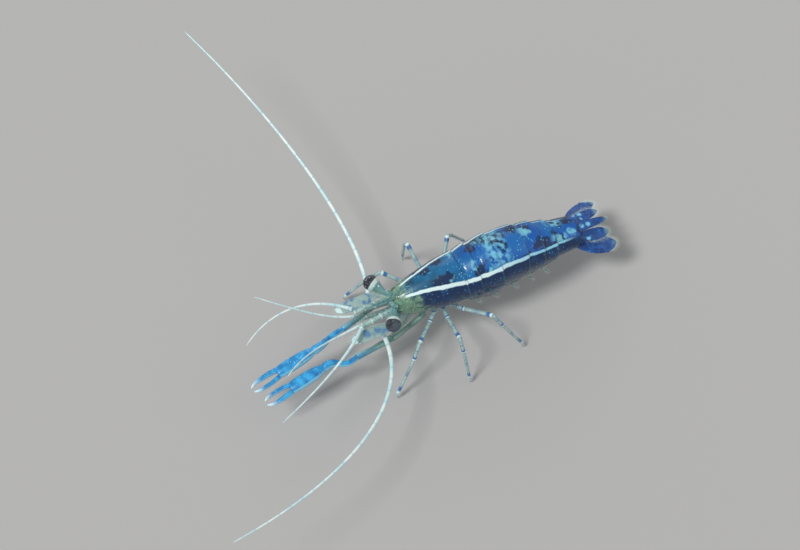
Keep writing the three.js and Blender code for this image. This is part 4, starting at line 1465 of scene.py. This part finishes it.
def add_eyes(stalk, cornea):
    """Each eye on its stalk, with its facets."""
    lens = lens_recipe()
    for side, s in SIDES:
        low, high = (np.array(corner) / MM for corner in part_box(f"eye_{side}"))
        centre = (low + high) / 2
        out = unit(centre - at(0.4, 0.54 * s, 6.6))
        shape = Shape()
        points = placed(((0.22, 0.46, 6.56), (0.62, 0.92, 6.66)), s)
        points += [centre - out * 0.60, centre - out * 0.12]
        rod(shape, points, STALK_ROWS, (0, 1), 26, around=28, blunt=(0.4, 0.12))
        add_piece(f"eyestalk_skin_{side}", shape, [stalk], "clear_limb", f"eyestalk_{side}")
        name = f"eye_ball_{side}"
        to_piece(name, eye_ball(name, centre, out), [cornea], [f"eye_{side}"])
        directions = even_directions(LENSES, out, 0.02)
        facets = Bristles()
        facets.put(centre + directions * EYE_RADIUS * 0.97, directions, np.ones(len(directions)))
        facets.grow(f"eye_lenses_{side}", lens, cornea, "eye", {"Lens": 0.031 * MM})


# Control points of the feelers, as in the CAD: forward, left, up.
ANTENNULE_FEELERS = {
    "left": {
        "outer": ((3.32, 0.85, 6.15), (5.2, 2.8, 6.8), (8.5, 4.6, 7.4), (12.2, 5.9, 7.2)),
        "inner": ((3.32, 0.45, 5.75), (5.4, 0.9, 6.2), (8.2, 1.6, 8.2), (10.6, 3.6, 9.4)),
    },
    "right": {
        "outer": ((3.32, -0.85, 6.15), (5.5, -2.6, 7.0), (8.8, -3.1, 7.7), (11.9, -1.3, 6.7)),
        "inner": ((3.32, -0.45, 5.75), (5.4, -0.7, 6.3), (8.0, -1.9, 8.6), (10.2, -3.4, 9.6)),
    },
}
ANTENNAE = {
    "left": ((1.8, 1.2, 4.7), (2.0, 7.8, 5.7), (9.7, 12.4, 7.8), (19.7, 13.9, 9.6)),
    "right": ((1.8, -1.2, 4.6), (-0.6, -5.2, 6.2), (1.9, -17.5, 8.4), (5.5, -26.6, 10.6)),
}
# Root radius, tip radius and ring length of the feelers, in millimetres, and how far a ring swells.
ANTENNULE_SIZES = {"outer": (0.15, 0.04, 0.15, 0.12), "inner": (0.115, 0.04, 0.15, 0.12)}
ANTENNA_SIZES = (0.19, 0.06, 0.18, 0.10)
# Joints of the feelers' stems.
ANTENNULE_STEM = ((0.22, 0.38, 5.95), (1.62, 0.54, 5.96), (2.4, 0.63, 5.97), (3.22, 0.66, 5.96))
ANTENNA_STEM = ((0.22, 0.70, 5.40), (0.75, 0.80, 5.14), (1.2, 0.90, 4.92), (1.84, 1.14, 4.67))
SCALE_STEM = ((0.15, 0.95, 5.50), (0.6, 1.22, 5.54), (0.95, 1.40, 5.58))
SCALE_LINE = ((0.75, 1.45, 5.58), (2.6, 1.58, 5.66), (4.5, 1.45, 5.74))
SCALE_OUTER = (0.20, 0.36, 0.42, 0.42, 0.40, 0.30)
SCALE_INNER = (0.20, 0.44, 0.56, 0.60, 0.54, 0.34)


def add_whip(name, controls, sizes, tree, finish, node):
    """A feeler along the curve that the four control points draw."""
    start, leave, arrive, end = (at(*point) * MM for point in controls)
    curve = bpy.data.curves.new(name, "CURVE")
    curve.dimensions = "3D"
    curve.resolution_u = 64
    spline = curve.splines.new("BEZIER")
    spline.bezier_points.add(1)
    for point, place, before, after in zip(
        spline.bezier_points, (start, end), (start, arrive), (leave, end)
    ):
        point.handle_left_type = point.handle_right_type = "FREE"
        point.co, point.handle_left, point.handle_right = place, before, after
    root, tip, ring, swell = sizes
    inputs = {"Root Radius": root * MM, "Tip Radius": tip * MM, "Ring": ring * MM, "Swell": swell}
    mesh = run_recipe(name, curve, tree, finish, inputs)
    to_piece(name, mesh, [], [node])


def add_antennule(side, s, finishes, tree, whip, bristles):
    """A stem with a root article for each of its two feelers, and the feelers."""
    shape = Shape()
    joints = placed(ANTENNULE_STEM, s)
    limb(shape, joints, (0.27, 0.25, 0.24, 0.24), UPRIGHT)
    cone(shape, at(0.55, 0.60 * s, 5.93), at(1.35, 0.86 * s, 5.96), 0.12, mark=0.5)
    for branch, controls in ANTENNULE_FEELERS[side].items():
        first, second = placed(controls[:2])
        radius = ANTENNULE_SIZES[branch][0]
        article = first + unit(second - first) * 0.14
        root = at(2.98, 0.66 * s, 5.96)
        podomere(shape, root, article, (radius * 1.1, radius * 1.3), 3, UPRIGHT)
    aside = heading(0, 0.15 * s, 0)
    middle = joints[1] + heading(-0.1, 0, 0)
    bristles.brush(middle + aside, middle - aside, 12, 0.2, heading(1, 0, 0.5))
    add_piece(f"antennule_stem_{side}", shape, finishes, "clear_limb", f"antennule_base_{side}")
    for branch, controls in ANTENNULE_FEELERS[side].items():
        name, node = f"antennule_whip_{branch}_{side}", f"antennule_{branch}_{side}"
        add_whip(name, controls, ANTENNULE_SIZES[branch], tree, whip, node)


def add_antenna(side, s, finishes, tree, whip):
    """The long antenna, its stem and the stem of its scale."""
    shape = Shape()
    limb(shape, placed(ANTENNA_STEM, s), (0.27, 0.27, 0.25, 0.22), UPRIGHT)
    rod(shape, placed(SCALE_STEM, s), ((0, 0.28), (1, 0.22)), (0.1, 0.8), 12)
    add_piece(f"antenna_stem_{side}", shape, finishes, "clear_limb", f"antenna_base_{side}")
    add_whip(f"antenna_whip_{side}", ANTENNAE[side], ANTENNA_SIZES, tree, whip, f"antenna_{side}")


def add_antenna_scale(side, s, finish, bristles):
    """The flat scale beside the antenna, with a spine at the end of its outer margin."""
    plus, minus = (SCALE_OUTER, SCALE_INNER)[::s]
    leaf = Blade(bow(*placed(SCALE_LINE, s), 44), plus, minus, 0.12, UPRIGHT)
    shape = Shape()
    leaf.into(shape)
    spot = from_root(0.40, s < 0)
    roots, outs = leaf.edge(spot, spot, 1)
    tip = roots[0] + heading(0.40, 0, 0) + outs[0] * 0.03
    cone(shape, roots[0] - outs[0] * 0.04, tip, 0.06, mark=0.95)
    first, last = sorted(from_root(share, s < 0) for share in (0.42, 0.94))
    bristles.along(leaf, first, last, 90, 0.40, 0.7)
    node = f"antenna_scale_{side}"
    add_piece(f"antenna_scale_plate_{side}", shape, [finish], "clear_limb", node)


# ---------------------------------------------------------------- bristles and facets
PATCH = 0.003  # size of a hair's patch on the bake map


class Bristles:
    """Roots, directions and lengths of fine hairs, gathered for one piece."""

    def __init__(self):
        self.roots, self.aims, self.reaches, self.patches = [], [], [], []
        self.random = np.random.default_rng(7)

    def put(self, roots, aims, reaches):
        """One row of hairs, which takes a row of the bake map."""
        count = len(roots)
        row = np.full(count, len(self.roots) + 0.5)
        self.patches.append(np.stack([(np.arange(count) + 0.5) / count, row], axis=-1))
        self.roots.append(roots)
        self.aims.append(unit(aims))
        self.reaches.append(reaches)

    def along(self, blade, start, end, count, reach, splay):
        """A fringe on a blade's edge, splayed outwards and swept towards its tip."""
        roots, outs = blade.edge(start, end, count)
        jitter = self.random.normal(0, 0.05, (count, 3))
        aims = outs * splay + blade.tipward * (1 - splay * 0.45) + jitter
        share = np.linspace(0, 1, count)
        ends = np.minimum(1, 4 * np.minimum(share + 0.08, 1.08 - share))
        reaches = reach * ends * self.random.uniform(0.85, 1.1, count)
        self.put(roots - outs * 0.03, aims, reaches)

    def brush(self, start, end, count, reach, aim):
        """A tuft along a line, all pointing much the same way."""
        t = np.linspace(0, 1, count)[:, None]
        roots = start * (1 - t) + end * t + self.random.normal(0, 0.04, (count, 3))
        aims = unit(aim) + self.random.normal(0, 0.25, (count, 3))
        self.put(roots, aims, reach * self.random.uniform(0.7, 1.15, count))

    def grow(self, name, tree, finish, slot, sizes):
        """Makes the mesh: the recipe's small shape on every root."""
        patches = np.concatenate(self.patches) / (1, len(self.roots))
        values = {
            "aim": ("FLOAT_VECTOR", "vector", np.concatenate(self.aims)),
            "reach": ("FLOAT", "value", np.concatenate(self.reaches)),
            "patch": ("FLOAT_VECTOR", "vector", np.column_stack([patches, 0 * patches[:, 0]])),
        }
        data = bpy.data.meshes.new(name)
        data.from_pydata(np.concatenate(self.roots) * MM, [], [])
        for label, (kind, part, table) in values.items():
            data.attributes.new(label, kind, "POINT").data.foreach_set(part, table.ravel())
        mesh = run_recipe(name, data, tree, finish, sizes)
        lay_patches(mesh)
        to_piece(name, mesh, [], [])


def lay_patches(mesh):
    """Gives each hair a small patch of the bake map at its root's place."""
    patch = np.zeros(len(mesh.vertices) * 3)
    mesh.attributes["patch"].data.foreach_get("vector", patch)
    patch = patch.reshape(-1, 3)[:, :2]
    corners = np.zeros(len(mesh.loops), int)
    mesh.loops.foreach_get("vertex_index", corners)
    turn = corners * 2.4
    spot = patch[corners] + np.stack([np.cos(turn), np.sin(turn)], axis=-1) * PATCH / 2
    mesh.uv_layers.new(name="OFBake").data.foreach_set("uv", spot.ravel())


# ---------------------------------------------------------------- Geometry Nodes recipes
def open_recipe(name, sizes):
    """A new tree with named inputs, and the inputs as wires."""
    tree = bpy.data.node_groups.new(name, "GeometryNodeTree")
    sockets = {"Geometry": "Geometry"} | dict.fromkeys(sizes, "Float") | {"Finish": "Material"}
    for label, kind in sockets.items():
        entry = tree.interface.new_socket(label, in_out="INPUT", socket_type=f"NodeSocket{kind}")
        if label in sizes:
            entry.default_value = sizes[label]
    tree.interface.new_socket("Geometry", in_out="OUTPUT", socket_type="NodeSocketGeometry")
    g = Graph(tree)
    outputs = tree.nodes.new("NodeGroupInput").outputs
    return g, {socket.name: Wire(g, socket) for socket in outputs if socket.name}


def close_recipe(g, mesh, finish):
    """Ends a tree in one smooth, plain mesh and returns the tree."""
    mesh = g.node("GeometryNodeRealizeInstances", inputs={"Geometry": mesh})
    mesh = g.node("GeometryNodeSetShadeSmooth", inputs={"Geometry": mesh, "Shade Smooth": True})
    mesh = g.node("GeometryNodeSetMaterial", inputs={"Geometry": mesh, "Material": finish})
    g.node("NodeGroupOutput", inputs={"Geometry": mesh})
    return g.tree


def run_recipe(name, data, tree, finish, sizes):
    """Runs a tree on a curve or on guide points and returns the plain mesh it makes."""
    guide = in_scene(name, data)
    modifier = guide.modifiers.new("recipe", "NODES")
    modifier.node_group = tree
    values = sizes | {"Finish": finish}
    for item in tree.interface.items_tree:
        if item.in_out == "INPUT" and item.name in values:
            modifier[item.identifier] = values[item.name]
    shapes = bpy.context.evaluated_depsgraph_get()
    made = guide.evaluated_get(shapes)
    mesh = bpy.data.meshes.new_from_object(made, preserve_all_data_layers=True, depsgraph=shapes)
    bpy.data.objects.remove(guide)
    mesh.name = name
    return mesh


def whip_recipe():
    """A ringed, tapering feeler along a curve, with the length from its root kept on it."""
    sizes = {"Root Radius": 0.2 * MM, "Tip Radius": 0.08 * MM, "Ring": 0.36 * MM, "Swell": 0.1}
    g, inputs = open_recipe("ringed_feeler", sizes)
    step = {"Curve": inputs["Geometry"], "Length": 0.03 * MM}
    curve = g.node("GeometryNodeResampleCurve", {"mode": "LENGTH"}, step)
    share = g.node("GeometryNodeSplineParameter", output="Factor")
    length = g.node("GeometryNodeSplineParameter", output="Length")
    store = {"data_type": "FLOAT", "domain": "POINT"}
    kept = {"Geometry": curve, "Name": "along", "Value": length}
    curve = g.node("GeometryNodeStoreNamedAttribute", store, kept)
    ring = (length / inputs["Ring"]).math("FRACT").math("SUBTRACT", 0.5) * 2.0
    taper = (inputs["Tip Radius"] - inputs["Root Radius"]) * (share**0.75)
    swell = 1.0 + inputs["Swell"] * (0.5 - ring * ring)
    radius = (inputs["Root Radius"] + taper) * swell * ((1.0 - share**40.0) ** 0.5)
    profile = g.node("GeometryNodeCurvePrimitiveCircle", inputs={"Resolution": 12, "Radius": 1.0})
    parts = {"Curve": curve, "Profile Curve": profile, "Scale": radius, "Fill Caps": True}
    return close_recipe(g, g.node("GeometryNodeCurveToMesh", inputs=parts), inputs["Finish"])


def instance_recipe(name, sizes, small_shape):
    """A small shape on each guide point, turned along its aim and stretched by its reach."""
    g, inputs = open_recipe(name, sizes)
    aim = g.node("GeometryNodeInputNamedAttribute", {"data_type": "FLOAT_VECTOR"}, {"Name": "aim"})
    reach = g.node("GeometryNodeInputNamedAttribute", {"data_type": "FLOAT"}, {"Name": "reach"})
    turn = g.node("FunctionNodeAlignRotationToVector", {"axis": "Z"}, {"Vector": aim})
    size = g.node("ShaderNodeCombineXYZ", inputs={0: 1.0, 1: 1.0, 2: reach})
    parts = {"Points": inputs["Geometry"], "Instance": small_shape(g, inputs)}
    parts |= {"Rotation": turn, "Scale": size}
    return close_recipe(g, g.node("GeometryNodeInstanceOnPoints", inputs=parts), inputs["Finish"])


def hair_recipe():
    """A bent, tapering four-sided hair a millimetre long before its reach scales it."""

    def hair(g, inputs):
        parts = {"Vertices": 4, "Side Segments": 3, "Depth": 1 * MM}
        parts |= {"Radius Bottom": inputs["Thickness"], "Radius Top": inputs["Thickness"] * 0.15}
        straight = g.node("GeometryNodeMeshCone", {"fill_type": "TRIANGLE_FAN"}, parts)
        place = g.node("GeometryNodeInputPosition")
        height = g.node("ShaderNodeSeparateXYZ", inputs={0: place}, output=2)
        push = height * height * inputs["Bend"] * (1 / MM)
        offset = g.node("ShaderNodeCombineXYZ", inputs={0: push})
        return g.node("GeometryNodeSetPosition", inputs={"Geometry": straight, "Offset": offset})

    return instance_recipe("fringe_hair", {"Thickness": 0.012 * MM, "Bend": 0.1}, hair)


def lens_recipe():
    """One facet of an eye: a low dome."""

    def dome(g, inputs):
        parts = {"Radius": inputs["Lens"], "Subdivisions": 1}
        return g.node("GeometryNodeMeshIcoSphere", inputs=parts)

    return instance_recipe("eye_lens", {"Lens": 0.03 * MM}, dome)


# ---------------------------------------------------------------- camera, lights and floor
AZIMUTH, ELEVATION = math.radians(64), math.radians(62)
LENS, SENSOR = 120.0, 36.0  # in millimetres
FILLED = 0.93  # share of the view's height that the animal takes
VIEW_SHAPE = 550 / 800  # the view's height over its width
# Name, kind, azimuth and elevation in degrees, distance in metres, size (a sun's angle in radians or
# an area's width in metres), power and colour.
LAMPS = (
    ("key", "SUN", 10, 60, 1.0, math.radians(14), 2.0, (1.0, 0.985, 0.96)),
    ("fill", "AREA", 150, 42, 0.40, 0.30, 0.10, (0.93, 0.97, 1.0)),
    ("rim", "AREA", 250, 30, 0.36, 0.20, 0.10, (0.95, 0.98, 1.0)),
)
FLOOR_REACH = 3.0  # metres each way


def towards(azimuth, elevation):
    """The direction of an azimuth, counted from ahead to the left, and an elevation, in radians."""
    flat = math.cos(elevation)
    return np.array([math.sin(azimuth) * flat, -math.cos(azimuth) * flat, math.sin(elevation)])


def add_camera():
    """Looks down at the animal from its front left, so close that the feelers fill the view."""
    across = np.array([math.cos(AZIMUTH), math.sin(AZIMUTH), 0])
    away = towards(AZIMUTH, ELEVATION)
    upright = np.cross(away, across)
    points = np.concatenate([[v.co for v in node.data.vertices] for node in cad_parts.values()])
    aim = 0
    for axis in (across, upright, away):
        aim = aim + axis * ((points @ axis).min() + (points @ axis).max()) / 2
    tall = np.ptp(points @ upright)
    distance = tall / FILLED / VIEW_SHAPE * LENS / SENSOR
    data = bpy.data.cameras.new("camera")
    data.lens, data.sensor_width = LENS, SENSOR
    data.clip_start, data.clip_end = 0.005, 20.0
    matrix = np.eye(4)
    matrix[:3] = np.stack([across, upright, away, aim + away * distance], axis=1)
    camera = in_scene("camera", data)
    camera.matrix_world = Matrix(matrix.tolist())
    bpy.context.scene.camera = camera


def add_lamp(name, kind, azimuth, elevation, distance, size, power, colour):
    """A lamp that points at the animal."""
    place = Vector(towards(math.radians(azimuth), math.radians(elevation))) * distance
    data = bpy.data.lights.new(name, kind)
    data.energy, data.color = power, colour
    if kind == "SUN":
        data.angle = size
    else:
        data.shape, data.size = "DISK", size
    lamp = in_scene(name, data)
    lamp.location = place
    lamp.rotation_euler = place.to_track_quat("Z", "Y").to_euler()


def add_stage():
    """A pale floor, three lamps and an even grey surround."""
    floor = bpy.data.meshes.new("floor")
    corners = [(x * FLOOR_REACH, y * FLOOR_REACH, 0) for x, y in ((-1, -1), (1, -1), (1, 1), (-1, 1))]
    floor.from_pydata(corners, [], [(0, 1, 2, 3)])
    floor.materials.append(floor_finish())
    ground = in_scene("floor", floor)
    for lamp in LAMPS:
        add_lamp(*lamp)
    world = bpy.data.worlds.new("studio")
    world.use_nodes = True
    world.node_tree.nodes.clear()
    g = Graph(world.node_tree)
    seen = g.node("ShaderNodeLightPath", output="Is Camera Ray")
    greys = {0: seen, 6: grey(0.46), 7: grey(0.45)}
    colour = g.node("ShaderNodeMix", {"data_type": "RGBA"}, greys, output=2)
    background = g.node("ShaderNodeBackground", inputs={"Color": colour, "Strength": 1.0})
    g.node("ShaderNodeOutputWorld", inputs={"Surface": background})
    bpy.context.scene.world = world
    bpy.context.scene.view_settings.view_transform = "Standard"
    bpy.context.scene.cycles.transparent_max_bounces = 32


# ---------------------------------------------------------------- the whole animal
add_camera()
add_stage()

shell = shell_finish()
fan = fan_finish()
core = muscle_finish()
limb_finishes = [glass_limb_finish(), core]
leg_finishes = [banded_leg_finish(), core]
claw_blue = claw_finish()
whip_white = whip_finish()
scale_clear = scale_finish()

head_hairs, tail_hairs, paddle_hairs, leg_hairs = (Bristles() for _ in range(4))
add_inner_body(flesh_finish())
add_face(limb_finishes)
add_carapace(shell, rostrum_finish())
add_somites(shell)
add_tail_fan(fan, tail_hairs)
for k in range(5):
    add_paddles(k, limb_finishes, paddle_hairs)
for side, s in SIDES:
    add_mouth_leg(side, s, limb_finishes, head_hairs)
    add_picking_leg(side, s, limb_finishes, head_hairs)
for side, s in SIDES:
    add_cheliped(side, s, claw_blue, core, leg_hairs)
for number, back, knee, foot in WALKING_LEGS:
    for side, s in SIDES:
        add_walking_leg(number, back, knee, foot, side, s, leg_finishes, leg_hairs)
add_eyes(stalk_finish(), cornea_finish())
ringed_feeler = whip_recipe()
for side, s in SIDES:
    add_antennule(side, s, limb_finishes, ringed_feeler, whip_white, head_hairs)
    add_antenna(side, s, limb_finishes, ringed_feeler, whip_white)
    add_antenna_scale(side, s, scale_clear, head_hairs)

bristle = bristle_finish()
fringe_hair = hair_recipe()
for name, group, thickness in (
    ("head_bristles", head_hairs, 0.011),
    ("tail_fan_bristles", tail_hairs, 0.012),
    ("paddle_bristles", paddle_hairs, 0.010),
    ("leg_bristles", leg_hairs, 0.010),
):
    sizes = {"Thickness": thickness * MM, "Bend": 0.12}
    group.grow(name, fringe_hair, bristle, "clear_limb", sizes)
